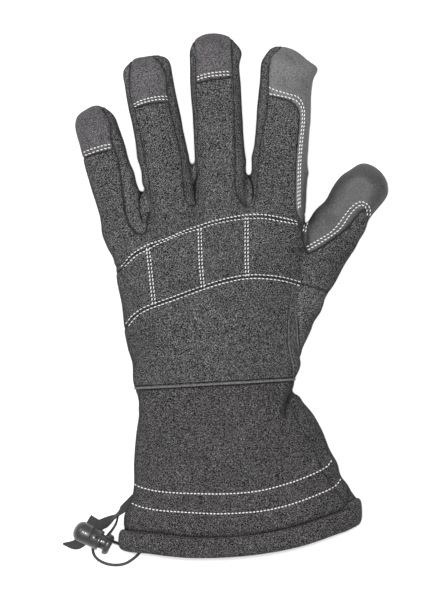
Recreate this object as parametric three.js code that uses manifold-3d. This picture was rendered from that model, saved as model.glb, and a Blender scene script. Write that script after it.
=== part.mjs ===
// A padded soft-shell work glove for the left hand, lying palm down: fabric back with a
// knuckle panel, gussets between the fingers, smooth fingertip caps, leather palm, finger
// fronts and thumb, a flared gauntlet with a rolled hem, and a cord lock on an elastic loop.
// Millimetres, +Z up, fingers along +Y and thumb towards +X.

import * as THREE from "three";
import { mergeVertices } from "three/addons/utils/BufferGeometryUtils.js";
import Module from "manifold-3d";

const wasm = await Module();
wasm.setup();

// Driving sizes
const wall = 2.4; // fabric with its bonded lining
const seamGap = 0.3; // between two pieces that are sewn or pressed together
const tall = 90; // cutting prisms reach past the glove: up, down and to both sides
const wide = 130;
const long = 200;
const hollowRunOut = 4; // a hollow is cut on past the open end of its shell
const seamLap = 0.05; // the two halves of a gusset meet a little above the side seam
const sides = { shell: 28, shellHollow: 16, tube: 12, tubeHollow: 10, hem: 28, hemSection: 8 };
const boxiness = { hand: 2.5, band: 2.4 }; // 2 is an ellipse, and more is boxier
const origin = { x: -3.2, y: 0.3 }; // middle of the glove's outline on the ground

// Fingers: axis from base to tip, widths at the crotch, the middle and the tip, height
// against the middle finger's, and where the cap starts along the axis. The seams are
// shares of the half width, at the crotch, the middle and the tip. slant is how far the
// tip leans on towards the thumb's side, against its width.
const fingers = [
  {
    name: "pinky", baseX: -57.9, baseY: 27.4, tipX: -83.7, tipY: 113.8,
    crotchWidth: 28.6, midWidth: 26.0, tipWidth: 24.8, height: 0.88, capAt: 0.675, slant: -0.1,
    leftSeam: [-1.6, -1.6, -1.6], rightSeam: [0.36, 0.52, 0.62],
  },
  {
    name: "ring", baseX: -30.0, baseY: 33.4, tipX: -51.4, tipY: 144.6,
    crotchWidth: 32.2, midWidth: 29.8, tipWidth: 28.8, height: 0.97, capAt: 0.74, slant: 0.02,
    leftSeam: [-0.84, -0.9, -0.84], rightSeam: [0.62, 0.74, 0.8],
  },
  {
    name: "middle", baseX: -3.9, baseY: 36.4, tipX: -10.2, tipY: 157.6,
    crotchWidth: 31.8, midWidth: 29.8, tipWidth: 29.8, height: 1.0, capAt: 0.775, slant: -0.05,
    leftSeam: [-0.84, -0.86, -0.84], rightSeam: [0.58, 0.72, 0.84],
  },
  {
    name: "index", baseX: 26.7, baseY: 36.4, tipX: 35.0, tipY: 148.4,
    crotchWidth: 35.4, midWidth: 30.8, tipWidth: 31.6, height: 1.0, capAt: null, slant: -0.3,
    leftSeam: [-0.7, -0.7, -0.68], rightSeam: [1.6, 1.6, 1.6],
  },
];

// Every finger's height along its axis, 0 at the base and 1 at the tip: middle and half.
const fingerHeights = [
  { at: 0.0, middle: 22.0, half: 18.6 },
  { at: 0.28, middle: 20.6, half: 14.8 },
  { at: 0.6, middle: 18.0, half: 12.4 },
  { at: 0.9, middle: 13.6, half: 11.6 },
  { at: 1.0, middle: 12.4, half: 11.4 },
];
const tip = { length: 12.5, power: 2.05 }; // how far a fingertip closes, and how bluntly
const slantFrom = 0.78; // where along a finger its leaning tip starts
const capBulge = 0.02; // how far the middle of a cap's edge lies beyond its ends
const baseFlare = 1.08; // a finger's width at its base, against the crotch
const pastTip = 1.1; // cuts run on to here along a finger
const capHalf = 0.6; // half widths of the cuts round one finger, against its width
const stripHalf = 0.56;
const seamRunOn = 0.03; // how far past the tip a side seam closes

// The foot of each gusset between two fingers, on the back and on the palm.
const gussets = [
  { name: "fourchette_pinky_ring", backX: -54.4, backY: 36.8, palmX: -53.5, palmY: 49, half: 5.2 },
  { name: "fourchette_ring_middle", backX: -22.0, backY: 53.4, palmX: -22.5, palmY: 62, half: 4.4 },
  { name: "fourchette_middle_index", backX: 11.0, backY: 53.8, palmX: 10.5, palmY: 62, half: 4.6 },
];
const gussetFoot = [[-1, 1.1], [-0.6, 0.25], [0, 0], [0.6, 0.25], [1, 1.1]]; // in halves
const palmSeamShare = 0.8; // where a gusset meets the palm, across the half width

// The hand, from the wrist seam to the web of the fingers. y is at the middle of the
// section, and slope is its rise towards the thumb.
const handRows = [
  { y: -52.1, left: -56.6, right: 38.0, slope: 0.056, top: 40.0, side: 17.0, bottom: 1.6 },
  { y: -33.0, left: -61.0, right: 40.2, slope: 0.06, top: 43.0, side: 17.5, bottom: -0.6 },
  { y: -9.0, left: -65.2, right: 41.6, slope: 0.08, top: 45.0, side: 18.0, bottom: -0.6 },
  { y: 14.0, left: -68.4, right: 43.6, slope: 0.1, top: 45.6, side: 18.5, bottom: -0.6 },
  { y: 32.0, left: -70.4, right: 44.2, slope: 0.14, top: 44.2, side: 19.0, bottom: 0.6 },
  { y: 42.0, left: -68.0, right: 43.4, slope: 0.17, top: 40.5, side: 19.5, bottom: 3.0 },
  { y: 49.0, left: -63.0, right: 40.0, slope: 0.17, top: 34.0, side: 20.0, bottom: 7.0 },
  { y: 53.0, left: -55.0, right: 34.0, slope: 0.17, top: 26.0, side: 20.5, bottom: 14.0 },
];

// The thumb, from inside the palm to its tip.
const thumbRows = [
  { x: 26.7, y: -29.6, half: 15.5, middle: 14.5, up: 13.0, down: 13.5 },
  { x: 36.3, y: -8.6, half: 17.0, middle: 14.5, up: 14.0, down: 14.5 },
  { x: 46.8, y: 14.2, half: 17.4, middle: 14.5, up: 14.0, down: 14.5 },
  { x: 57.6, y: 34.2, half: 17.0, middle: 14.0, up: 13.4, down: 13.4 },
  { x: 68.2, y: 50.4, half: 14.7, middle: 13.4, up: 12.6, down: 12.4 },
  { x: 77.3, y: 63.0, half: 14.4, middle: 13.0, up: 12.2, down: 12.2 },
  { x: 86.6, y: 77.2, half: 14.0, middle: 12.6, up: 11.6, down: 11.8 },
];

// The gauntlet, from the wrist seam to the hem seam: its two side points, how far the
// middle of the section hangs below the line between them, and its heights.
const gauntletRows = [
  { leftX: -56.6, leftY: -57.6, rightX: 38.0, rightY: -52.2, bow: 0, top: 40, side: 17, bottom: 1.6 },
  { leftX: -54.6, leftY: -67.4, rightX: 40.6, rightY: -60.2, bow: 1, top: 39, side: 16.5, bottom: 2 },
  { leftX: -56.6, leftY: -84.8, rightX: 51.4, rightY: -74.6, bow: 5, top: 41.5, side: 15.5, bottom: 0.6 },
  { leftX: -57.8, leftY: -99.2, rightX: 57.6, rightY: -87.0, bow: 9, top: 44, side: 14.5, bottom: -0.6 },
  { leftX: -58.0, leftY: -113.6, rightX: 60.8, rightY: -98.6, bow: 12.4, top: 45, side: 14, bottom: -0.6 },
  { leftX: -60.4, leftY: -125.0, rightX: 66.4, rightY: -110.0, bow: 13, top: 46, side: 14, bottom: -0.6 },
  { leftX: -62.6, leftY: -131.6, rightX: 71.0, rightY: -117.0, bow: 13.4, top: 48, side: 14, bottom: -0.6 },
  { leftX: -63.4, leftY: -138.1, rightX: 74.4, rightY: -123.6, bow: 13.2, top: 47.8, side: 14, bottom: 0.2 },
];
const underBow = 0.75; // the underside's hang against the back's
const wristSeam = { proud: 1.0, length: 1.9 };

// The rolled hem: the middle line of its wall, and the half sizes of its section.
const hem = {
  leftX: -63.4, leftY: -144.9, rightX: 75.0, rightY: -130.4, bow: 12.6,
  top: 47.0, side: 14, bottom: 2.7, halfLength: 6.0, halfThick: 2.9,
};

// The side seam, where the back fabric meets the palm: its height along the glove.
const sideSeam = [
  { y: -160, z: 13.5 },
  { y: -60, z: 14.5 },
  { y: 10, z: 16.5 },
  { y: 50, z: 16.5 },
  { y: 110, z: 12.5 },
  { y: 170, z: 11 },
];

// Sewn lines on the back of the glove, as points in plan.
const knuckleArc = [
  [-80, 6], [-70, 14.6], [-63.8, 20.0], [-57.7, 26.2], [-49.4, 30.4], [-37, 35],
  [-20.5, 41.2], [-6, 45.8], [9.5, 48.4], [25, 47.4], [40.5, 44.3],
];
const knuckleArcEnd = [[44.6, 43.2], [60, 46]];
const lowerArcShift = { x: 1.8, y: -37.2 };
const lowerArcEnd = [[56, 3], [68, -3], [wide, -30]]; // on past the thumb's root
const indexPatchLine = [
  [10, 121.2], [22, 120.6], [31.9, 118.9], [37.5, 116.4], [41.1, 112.6], [42.8, 107.4],
  [42.2, 98], [41, 86], [40.2, 73.6], [39.9, 60], [40.4, 51], [43.6, 43.8],
];
const thumbPatchLine = [
  [60, 200], [56, 90], [50, 64], [44.6, 47.5], [43.6, 43], [44, 35], [45.6, 27.6],
  [54.8, 32.9], [63.4, 38.6], [70.4, 46], [74.4, 52.6], [77.9, 55.1], [81.2, 54.0],
  [83.4, 50.4], [84.6, 45],
];
const fingerRootLine = [
  [-wide, 36], [-74, 43], [-53.5, 53], [-38, 62], [-22.5, 66], [10.5, 66], [30, 60],
  [45.5, 51], [60, 44],
];
const thumbRootLine = [
  [60, 200], [56, 90], [50, 64], [44.6, 47.5], [43.8, 38], [42.6, 26], [40.6, 10],
  [38.4, -6], [36.8, -20], [38.4, -31], [46, -38], [wide, -44],
];
const heelSeamLine = [
  [36.4, 20], [37.4, 5], [35.6, -12], [35.1, -22], [35.5, -33], [37.4, -41.4], [37.8, -60],
];
const gauntletSeamLine = [
  [36.9, -40], [37.0, -64], [39.4, -75], [48.6, -89], [52.6, -98], [57.4, -104],
  [62.8, -117], [68.4, -130], [73, -160],
];

// Cord lock: places along its axis, from the hole that the cord crosses towards the dome.
const lock = {
  x: -81.3, y: -147.0, z: 9.5, heading: 154, holeTilt: 70, holeRadius: 1.8,
  radius: 6.1, openEnd: -3.6, shoulder: 8.6, domeEnd: 12.2, boreRadius: 4.8, boreEnd: 9.0,
  stemRadius: 4.3, stemEnd: 5.6, slotFrom: -5.4, slotTo: 2.4, rim: 0.4, lip: 0.6,
  headFrom: -6.9, headTo: -10.4, headRadius: 6.9, sides: 16, holeLength: 30, holeSides: 10,
};
const headBevel = [[0, 2.2], [0.9, 0.5], [1.8, 0]]; // along the button, and in from its rim
const domeShares = [0.3, 0.6, 0.85];

// Elastic cord: out of the hem's end, over the button, through the lock, and back along
// the ground into the hem from below.
const elastic = { radius: 0.9, sides: 8, steps: 28 };
const elasticRoute = [
  [-66.7, -149.2, 14.4], [-70.6, -147.6, 16.8], [-74.2, -146.0, 18.5], [-75.8, -145.3, 18.8],
  [-77.4, -144.9, 18.5], [-78.8, -144.7, 17.6], [-79.9, -144.9, 16.3], [-80.5, -145.3, 14.8],
  [-81.3, -147.0, 9.5], [-82.0, -148.5, 4.8], [-82.3, -149.1, 3.7], [-82.5, -150.0, 2.8],
  [-82.6, -151.2, 2.2], [-82.8, -152.5, 1.9], [-82.4, -155.2, 1.3], [-81.0, -157.6, 1.1],
  [-78.6, -159.6, 1.0], [-75.4, -161.1, 1.0], [-71.6, -162.0, 1.0], [-67.4, -162.1, 1.0],
  [-63.2, -161.2, 1.0], [-59.4, -159.0, 1.2], [-56.2, -156.4, 1.8], [-53.8, -153.4, 2.8],
];

// Ribbon: strips through rows of points. lean stands the strip on its edge, in degrees.
const ribbon = { thick: 1.0 };
const ribbonStrips = [
  [
    { x: -63.0, y: -125.0, z: 14, width: 5.4, lean: 50 },
    { x: -65.6, y: -128.6, z: 13, width: 5.6, lean: 64 },
    { x: -69.6, y: -132.2, z: 11, width: 5.8, lean: 68 },
    { x: -74.0, y: -135.2, z: 8, width: 6.2, lean: 40 },
    { x: -78.2, y: -137.6, z: 4.8, width: 6.4, lean: 12 },
    { x: -81.8, y: -140.2, z: 2.6, width: 6.4, lean: 0 },
    { x: -85.4, y: -143.6, z: 1.8, width: 6.6, lean: 0 },
    { x: -88.8, y: -147.2, z: 1.2, width: 6.8, lean: 0 },
    { x: -92.4, y: -149.2, z: 1.0, width: 6.2, lean: 0 },
    { x: -99.6, y: -149.0, z: 0.8, width: 1.2, lean: 0 },
  ],
  [
    { x: -80.6, y: -133.9, z: 3.6, width: 7.6, lean: 0 },
    { x: -83.0, y: -137.8, z: 3.5, width: 7.6, lean: 0 },
    { x: -86.0, y: -142.6, z: 2.65, width: 7.0, lean: 0 },
    { x: -88.0, y: -145.6, z: 1.6, width: 6.4, lean: 0 },
  ],
];

// Solids from three.js geometry

function toSolid(geometry) {
  const bare = geometry.clone();
  bare.deleteAttribute("normal");
  bare.deleteAttribute("uv");
  const merged = mergeVertices(bare, 1e-3);
  return new wasm.Manifold(
    new wasm.Mesh({
      numProp: 3,
      vertProperties: new Float32Array(merged.attributes.position.array),
      triVerts: new Uint32Array(merged.index.array),
    }),
  );
}

function toGeometry(solid) {
  const mesh = solid.getMesh();
  const geometry = new THREE.BufferGeometry();
  geometry.setAttribute("position", new THREE.BufferAttribute(mesh.vertProperties, 3));
  geometry.setIndex(new THREE.BufferAttribute(mesh.triVerts, 1));
  geometry.computeVertexNormals();
  return geometry;
}

// Cuts leave slivers that hang on by one edge: the largest body is the panel itself.
function largestBody(solid) {
  const bodies = toSolid(toGeometry(solid)).decompose();
  return bodies.reduce((best, body) => (body.volume() > best.volume() ? body : best));
}

function union(solids) {
  return solids.reduce((sum, solid) => sum.add(solid));
}

// A closed skin through rings of points: open runs are capped at both ends, and a
// closed loop joins its last ring to its first.
function loft(rings, closedLoop = false) {
  const count = rings[0].length;
  const points = rings.flat();
  const faces = [];
  const last = closedLoop ? rings.length : rings.length - 1;
  for (let r = 0; r < last; r++) {
    const next = (r + 1) % rings.length;
    for (let i = 0; i < count; i++) {
      const j = (i + 1) % count;
      const [a, b] = [r * count + i, r * count + j];
      const [c, d] = [next * count + j, next * count + i];
      faces.push(a, b, c, a, c, d);
    }
  }
  if (!closedLoop) {
    for (const ring of [0, rings.length - 1]) {
      const middle = new THREE.Vector3();
      rings[ring].forEach((p) => middle.addScaledVector(p, 1 / count));
      points.push(middle);
      for (let i = 0; i < count; i++) {
        const rim = [ring * count + i, ring * count + ((i + 1) % count)];
        if (ring === 0) rim.reverse();
        faces.push(points.length - 1, ...rim);
      }
    }
  }
  const geometry = new THREE.BufferGeometry().setFromPoints(points);
  geometry.setIndex(faces);
  const solid = toSolid(geometry);
  if (solid.volume() > 0) return solid;
  for (let i = 0; i < faces.length; i += 3) {
    [faces[i + 1], faces[i + 2]] = [faces[i + 2], faces[i + 1]];
  }
  geometry.setIndex(faces);
  return toSolid(geometry);
}

function prism(outline, low = -tall, high = tall) {
  const shape = new THREE.Shape(outline.map(([x, y]) => new THREE.Vector2(x, y)));
  const geometry = new THREE.ExtrudeGeometry(shape, { depth: high - low, bevelEnabled: false });
  return toSolid(geometry.translate(0, 0, low));
}

const aboveGround = () =>
  prism([[-wide, -long], [wide, -long], [wide, long], [-wide, long]], 0, tall);

// A row's value between the rows of a table, on a smooth curve through them.
function smooth(table, key, at) {
  let i = 1;
  while (i < table.length - 1 && table[i].at < at) i++;
  const [a, b] = [table[i - 1], table[i]];
  const t = THREE.MathUtils.clamp((at - a.at) / (b.at - a.at), 0, 1);
  const before = table[i - 2] ?? a;
  const after = table[i + 1] ?? b;
  const span = b.at - a.at;
  const slopeA = ((b[key] - before[key]) / (b.at - before.at)) * span;
  const slopeB = ((after[key] - a[key]) / (after.at - a.at)) * span;
  return (
    a[key] * (2 * t ** 3 - 3 * t ** 2 + 1) +
    b[key] * (3 * t ** 2 - 2 * t ** 3) +
    slopeA * (t ** 3 - 2 * t ** 2 + t) +
    slopeB * (t ** 3 - t ** 2)
  );
}

// A rounded outline, across and up from -1 to 1.
function rounded(angle, power) {
  const [c, s] = [Math.cos(angle), Math.sin(angle)];
  return {
    across: Math.sign(c) * Math.abs(c) ** (2 / power),
    up: Math.sign(s) * Math.abs(s) ** (2 / power),
  };
}

function ringOf(count, pointAt) {
  return Array.from({ length: count }, (_, i) => pointAt((2 * Math.PI * i) / count));
}

// How full a fingertip is, at a distance from its end.
function fullness(distance, length) {
  const share = THREE.MathUtils.clamp(1 - distance / length, 0, 1);
  return (1 - share ** tip.power) ** (1 / tip.power);
}
const tipShares = [1, 0.62, 0.34, 0.13, 0.02];
const innerTipShares = [1, 0.4, 0.03];
const tipLength = (inset) => tip.length - inset / 2;

// Fingers

function fingerAxis(finger) {
  const base = new THREE.Vector2(finger.baseX, finger.baseY);
  const along = new THREE.Vector2(finger.tipX, finger.tipY).sub(base);
  const length = along.length();
  along.normalize();
  return { base, along, length, side: new THREE.Vector2(along.y, -along.x) };
}

function fingerWidth(finger, at) {
  const rows = [
    { at: 0, width: finger.crotchWidth * baseFlare },
    { at: 0.28, width: finger.crotchWidth },
    { at: 0.6, width: finger.midWidth },
    { at: 0.9, width: finger.tipWidth },
    { at: 1, width: finger.tipWidth },
  ];
  return smooth(rows, "width", Math.min(at, 1));
}

function fingerPoint(finger, at, across) {
  const { base, along, length, side } = fingerAxis(finger);
  return base.clone().addScaledVector(along, at * length).addScaledVector(side, across);
}

function tipStops(end, inset) {
  const shares = inset > 0 ? innerTipShares : tipShares;
  return shares.map((share) => end - tipLength(inset) * share);
}

function fingerSolid(finger, inset, count) {
  const { length } = fingerAxis(finger);
  const end = length - inset;
  const stops = [-0.06, 0.28, 0.6, 0.78].map((at) => at * length);
  stops.push(...tipStops(end, inset));
  return loft(
    stops.map((distance) => {
      const at = distance / length;
      const lean = finger.slant * THREE.MathUtils.smoothstep(at, slantFrom, 1);
      const round = fullness(end - distance, tipLength(inset));
      const half = (fingerWidth(finger, at) / 2 - inset) * round;
      const rise = (smooth(fingerHeights, "half", at) * finger.height - inset) * round;
      const middle = smooth(fingerHeights, "middle", at);
      return ringOf(count, (angle) => {
        const { across, up } = rounded(angle, boxiness.hand);
        const spot = fingerPoint(finger, at + (lean * across * half) / length, across * half);
        return new THREE.Vector3(spot.x, spot.y, middle + up * rise);
      });
    }),
  );
}

// The hand, the thumb and the gauntlet

function handPoint(row, angle, inset) {
  const { across, up } = rounded(angle, boxiness.hand);
  const middle = (row.left + row.right) / 2;
  const x = middle + across * ((row.right - row.left) / 2 - inset);
  const reach = up > 0 ? row.top - row.side : row.side - row.bottom;
  return new THREE.Vector3(x, row.y + row.slope * (x - middle), row.side + up * (reach - inset));
}

function handSolid(inset, count) {
  const runOut = inset > 0 ? hollowRunOut : 0;
  const rows = handRows.map((row, i) => {
    const shift = i === 0 ? runOut : inset * (i / (handRows.length - 1));
    return { ...row, y: row.y - shift };
  });
  return loft(rows.map((row) => ringOf(count, (angle) => handPoint(row, angle, inset))));
}

function wristSolid() {
  const { proud, length } = wristSeam;
  const start = handRows[0];
  const bead = (inset, run) =>
    loft(
      [start.y - seamGap + run, start.y - seamGap - length - run].map((y) =>
        ringOf(sides.shell, (angle) => handPoint({ ...start, y }, angle, inset)),
      ),
    );
  return bead(-proud, 0).subtract(bead(wall, 2)).intersect(aboveGround());
}

function thumbSolid(inset, count) {
  const curve = new THREE.SplineCurve(thumbRows.map(({ x, y }) => new THREE.Vector2(x, y)));
  const length = curve.getLength();
  const rows = thumbRows.map((row, i) => ({ ...row, at: i / (thumbRows.length - 1) }));
  const end = length - inset;
  const stops = [0, 0.19, 0.38, 0.55, 0.72].map((share) => share * length);
  stops.push(...tipStops(end, inset));
  return loft(
    stops.map((distance) => {
      const share = distance / length;
      const spot = curve.getPointAt(share);
      const heading = curve.getTangentAt(share);
      const at = curve.getUtoTmapping(share);
      const round = fullness(end - distance, tipLength(inset));
      const half = (smooth(rows, "half", at) - inset) * round;
      return ringOf(count, (angle) => {
        const { across, up } = rounded(angle, boxiness.band);
        const reach = smooth(rows, up > 0 ? "up" : "down", at) - inset;
        return new THREE.Vector3(
          spot.x + heading.y * across * half,
          spot.y - heading.x * across * half,
          smooth(rows, "middle", at) + up * reach * round,
        );
      });
    }),
  );
}

// A point on a section that hangs between its two side points.
function bandPoint(row, angle, inset) {
  const { across, up } = rounded(angle, boxiness.band);
  const half = (row.rightX - row.leftX) / 2;
  const x = (row.rightX + row.leftX) / 2 + across * (half - inset);
  const share = (x - row.leftX) / (row.rightX - row.leftX);
  const line = THREE.MathUtils.lerp(row.leftY, row.rightY, share);
  const hang = row.bow * (1 - across ** 2) * (up > 0 ? 1 : underBow);
  const reach = up > 0 ? row.top - row.side : row.side - row.bottom;
  return new THREE.Vector3(x, line - hang, row.side + up * (reach - inset));
}

function gauntletSolid(inset, count) {
  const runOut = inset > 0 ? hollowRunOut : 0;
  const rows = gauntletRows.map((row, i) => {
    const shift = i === 0 ? runOut : i === gauntletRows.length - 1 ? -runOut : 0;
    return { ...row, leftY: row.leftY + shift, rightY: row.rightY + shift };
  });
  return loft(rows.map((row) => ringOf(count, (angle) => bandPoint(row, angle, inset))));
}

// The hem is a padded roll: its section is carried round the mouth of the gauntlet.
function hemSolid() {
  const lengthways = new THREE.Vector3(0, 1, 0);
  const littleOn = 0.02; // angle to the point that gives the wall's direction
  const rings = ringOf(sides.hem, (angle) => {
    const spot = bandPoint(hem, angle, 0);
    const tangent = bandPoint(hem, angle + littleOn, 0).sub(spot).normalize();
    const along = lengthways.clone().addScaledVector(tangent, -tangent.y).normalize();
    const outward = new THREE.Vector3().crossVectors(tangent, along);
    return ringOf(sides.hemSection, (turn) => {
      const { across, up } = rounded(turn + Math.PI / sides.hemSection, boxiness.band);
      return spot.clone()
        .addScaledVector(along, across * hem.halfLength)
        .addScaledVector(outward, up * hem.halfThick);
    });
  });
  return loft(rings, true).intersect(aboveGround());
}

// Sewn lines: prisms that part the shell into its pieces. grow moves a line outwards
// from its own piece, which leaves the gap to the next one.

// A line, or a closed outline, moved sideways: to its left for a positive distance.
function offsetLine(line, distance, closed = false) {
  const count = line.length;
  const normal = (i, j) => {
    const [dx, dy] = [line[j][0] - line[i][0], line[j][1] - line[i][1]];
    return new THREE.Vector2(-dy, dx).normalize();
  };
  return line.map(([x, y], i) => {
    const before = closed ? (i + count - 1) % count : Math.max(i - 1, 0);
    const after = closed ? (i + 1) % count : Math.min(i + 1, count - 1);
    const first = normal(before === i ? i : before, before === i ? after : i);
    const second = normal(after === i ? before : i, after === i ? i : after);
    const mitre = first.clone().add(second).normalize();
    const reach = distance / Math.max(mitre.dot(first), 0.5);
    return [x + mitre.x * reach, y + mitre.y * reach];
  });
}

// Everything on one side of a sewn line, closed through far corners.
function region(line, corners, grow) {
  const outline = (distance) => [...offsetLine(line, distance), ...corners];
  const turn = Math.sign(THREE.ShapeUtils.area(outline(0).map(([x, y]) => ({ x, y }))));
  return prism(outline(-turn * grow));
}

// Everything above the side seam: its profile, seen from the side, drawn across.
function aboveSideSeam(grow) {
  const shape = new THREE.Shape([
    ...sideSeam.map(({ y, z }) => new THREE.Vector2(y, z - grow)),
    new THREE.Vector2(sideSeam.at(-1).y, tall),
    new THREE.Vector2(sideSeam[0].y, tall),
  ]);
  const geometry = new THREE.ExtrudeGeometry(shape, { depth: 2 * wide, bevelEnabled: false });
  const turn = new THREE.Matrix4().makeBasis(
    new THREE.Vector3(0, 1, 0),
    new THREE.Vector3(0, 0, 1),
    new THREE.Vector3(1, 0, 0),
  );
  return toSolid(geometry.applyMatrix4(turn).translate(-wide, 0, 0));
}

const beyondKnuckles = (grow) =>
  region([...knuckleArc, ...knuckleArcEnd], [[60, long], [-wide, long], [-wide, 6]], grow);

function aboveLowerArc(grow) {
  const line = knuckleArc.map(([x, y]) => [x + lowerArcShift.x, y + lowerArcShift.y]);
  return region([...line, ...lowerArcEnd], [[wide, long], [-wide, long], [-wide, -31]], grow);
}

const thumbPatch = (grow) => region(thumbPatchLine, [[wide, 40], [wide, long]], grow);
const indexPatch = (grow) =>
  region(indexPatchLine, [[60, 44], [60, 60], [70, long], [10, long]], grow);
const heel = (grow) => region(heelSeamLine, [[wide, -60], [wide, 20]], grow);
const beyondRoots = (grow) => region(fingerRootLine, [[60, long], [-wide, long]], grow);
const thumbFront = (grow) => region(thumbRootLine, [[wide, long]], grow);

function gauntletBack(grow) {
  const left = region(gauntletSeamLine, [[-wide, -160], [-wide, -40]], grow);
  return left.intersect(aboveSideSeam(grow));
}

function capRegion(finger, grow) {
  const { length } = fingerAxis(finger);
  const edge = [-1, -0.5, 0, 0.5, 1].map((u) => {
    const at = finger.capAt - grow / length + capBulge * (1 - u * u);
    return fingerPoint(finger, at, u * capHalf * finger.midWidth).toArray();
  });
  const far = [capHalf, -capHalf].map((share) =>
    fingerPoint(finger, pastTip, share * finger.midWidth).toArray(),
  );
  return prism([...edge, ...far]);
}

// A strip in plan that holds one finger and no part of its neighbours.
function fingerStrip(finger) {
  const half = finger.crotchWidth * stripHalf;
  const corners = [[0, -half], [0, half], [pastTip, half], [pastTip, -half]];
  return prism(corners.map(([at, across]) => fingerPoint(finger, at, across).toArray()));
}

// Points of a finger's seam, from the crotch round to the tip.
function seamPoints(finger, shares) {
  const rows = [0.28, 0.6, 0.97].map((at, i) => ({ at, share: shares[i] }));
  const { length } = fingerAxis(finger);
  return [0.3, 0.6, 0.8, 0.93, 1.0, 1.08].map((at) => {
    const left = Math.max(1 + seamRunOn - at, seamRunOn) * length;
    const half = (fingerWidth(finger, at) / 2) * fullness(left, tip.length);
    return fingerPoint(finger, at, smooth(rows, "share", at) * half).toArray();
  });
}

function gussetPrism(index, foot, leftSeam, rightSeam, grow) {
  const { half } = gussets[index];
  const outline = [
    ...seamPoints(fingers[index], leftSeam).reverse(),
    ...gussetFoot.map(([across, up]) => [foot.x + across * half, foot.y + up * half]),
    ...seamPoints(fingers[index + 1], rightSeam),
  ];
  return prism(offsetLine(outline, -grow, true));
}

function gussetRegion(index, grow) {
  const { backX, backY, palmX, palmY } = gussets[index];
  const [left, right] = [fingers[index], fingers[index + 1]];
  const palmShares = [palmSeamShare, palmSeamShare, palmSeamShare];
  const opposite = palmShares.map((share) => -share);
  const back = gussetPrism(index, { x: backX, y: backY }, left.rightSeam, right.leftSeam, grow);
  const palm = gussetPrism(index, { x: palmX, y: palmY }, palmShares, opposite, grow);
  return back.intersect(aboveSideSeam(grow)).add(palm.subtract(aboveSideSeam(-grow - seamLap)));
}

// Pieces of the hand and of the gauntlet

function handPieces() {
  const whole = (inset, around, tube) =>
    union([
      handSolid(inset, around), thumbSolid(inset, tube),
      ...fingers.map((finger) => fingerSolid(finger, inset, tube)),
    ]);
  const hollow = whole(wall, sides.shellHollow, sides.tubeHollow);
  const shell = whole(0, sides.shell, sides.tube).intersect(aboveGround()).subtract(hollow);

  const pieces = {};
  let top = shell.intersect(aboveSideSeam(0));
  let under = shell.subtract(aboveSideSeam(seamGap));
  pieces.thumb_patch = top.intersect(thumbPatch(0));
  top = top.subtract(thumbPatch(seamGap));
  gussets.forEach((gusset, i) => {
    pieces[gusset.name] = shell.intersect(gussetRegion(i, 0));
    top = top.subtract(gussetRegion(i, seamGap));
    under = under.subtract(gussetRegion(i, seamGap));
  });
  for (const finger of fingers.filter((entry) => entry.capAt)) {
    pieces[`cap_${finger.name}`] = top.intersect(capRegion(finger, 0));
    top = top.subtract(capRegion(finger, seamGap));
  }
  pieces.index_patch = top.intersect(indexPatch(0));
  top = top.subtract(indexPatch(seamGap));
  pieces.finger_backs = top.intersect(beyondKnuckles(0));
  top = top.subtract(beyondKnuckles(seamGap));
  pieces.knuckle_panel = top.intersect(aboveLowerArc(0));
  top = top.subtract(aboveLowerArc(seamGap));
  pieces.heel_panel = top.intersect(heel(0));
  pieces.hand_back = top.subtract(heel(seamGap));
  pieces.thumb_front = under.intersect(thumbFront(0));
  under = under.subtract(thumbFront(seamGap));
  for (const finger of fingers) {
    const front = under.intersect(beyondRoots(0)).intersect(fingerStrip(finger));
    pieces[`finger_front_${finger.name}`] = front;
  }
  pieces.palm = under.subtract(beyondRoots(seamGap));
  return pieces;
}

function gauntletPieces() {
  const hollow = gauntletSolid(wall, sides.shellHollow);
  const shell = gauntletSolid(0, sides.shell).intersect(aboveGround()).subtract(hollow);
  return {
    gauntlet_back: shell.intersect(gauntletBack(0)),
    gauntlet_under: shell.subtract(gauntletBack(seamGap)),
  };
}

// Cord lock, drawn along +X from the cord hole towards the dome and then turned

function turned(profile) {
  const points = profile.map(([along, radius]) => new THREE.Vector2(radius, along));
  const geometry = new THREE.LatheGeometry(points, lock.sides);
  return toSolid(geometry.rotateZ(-Math.PI / 2));
}

const tilted = (geometry) => toSolid(geometry.rotateX(-THREE.MathUtils.degToRad(lock.holeTilt)));

function cordSlot() {
  const { slotFrom, slotTo, holeLength, holeRadius } = lock;
  const geometry = new THREE.BoxGeometry(slotTo - slotFrom, holeLength, 2 * holeRadius);
  return tilted(geometry.translate((slotFrom + slotTo) / 2, 0, 0));
}

function cordHole() {
  const { holeRadius, holeLength, holeSides } = lock;
  return tilted(new THREE.CylinderGeometry(holeRadius, holeRadius, holeLength, holeSides));
}

function lockBarrel() {
  const { radius, openEnd, shoulder, domeEnd, boreRadius, boreEnd, rim, lip } = lock;
  const dome = domeShares.map((share) => [
    shoulder + (domeEnd - shoulder) * Math.sin((share * Math.PI) / 2),
    radius * Math.cos((share * Math.PI) / 2),
  ]);
  return turned([
    [boreEnd, 0], [boreEnd, boreRadius], [openEnd, boreRadius], [openEnd, radius - rim],
    [openEnd + lip, radius], [shoulder, radius], ...dome, [domeEnd, 0],
  ]).subtract(cordHole());
}

function lockPlunger() {
  const { stemRadius, stemEnd, headFrom, headTo, headRadius } = lock;
  return turned([
    [headTo, 0], ...headBevel.map(([along, inwards]) => [headTo + along, headRadius - inwards]),
    [headFrom, headRadius], [headFrom, stemRadius], [stemEnd, stemRadius], [stemEnd, 0],
  ]).subtract(cordSlot());
}

function placeLock(solid) {
  const heading = THREE.MathUtils.degToRad(lock.heading);
  const geometry = toGeometry(solid).rotateZ(heading).translate(lock.x, lock.y, lock.z);
  return toSolid(geometry);
}

// Elastic cord and ribbon

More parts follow.
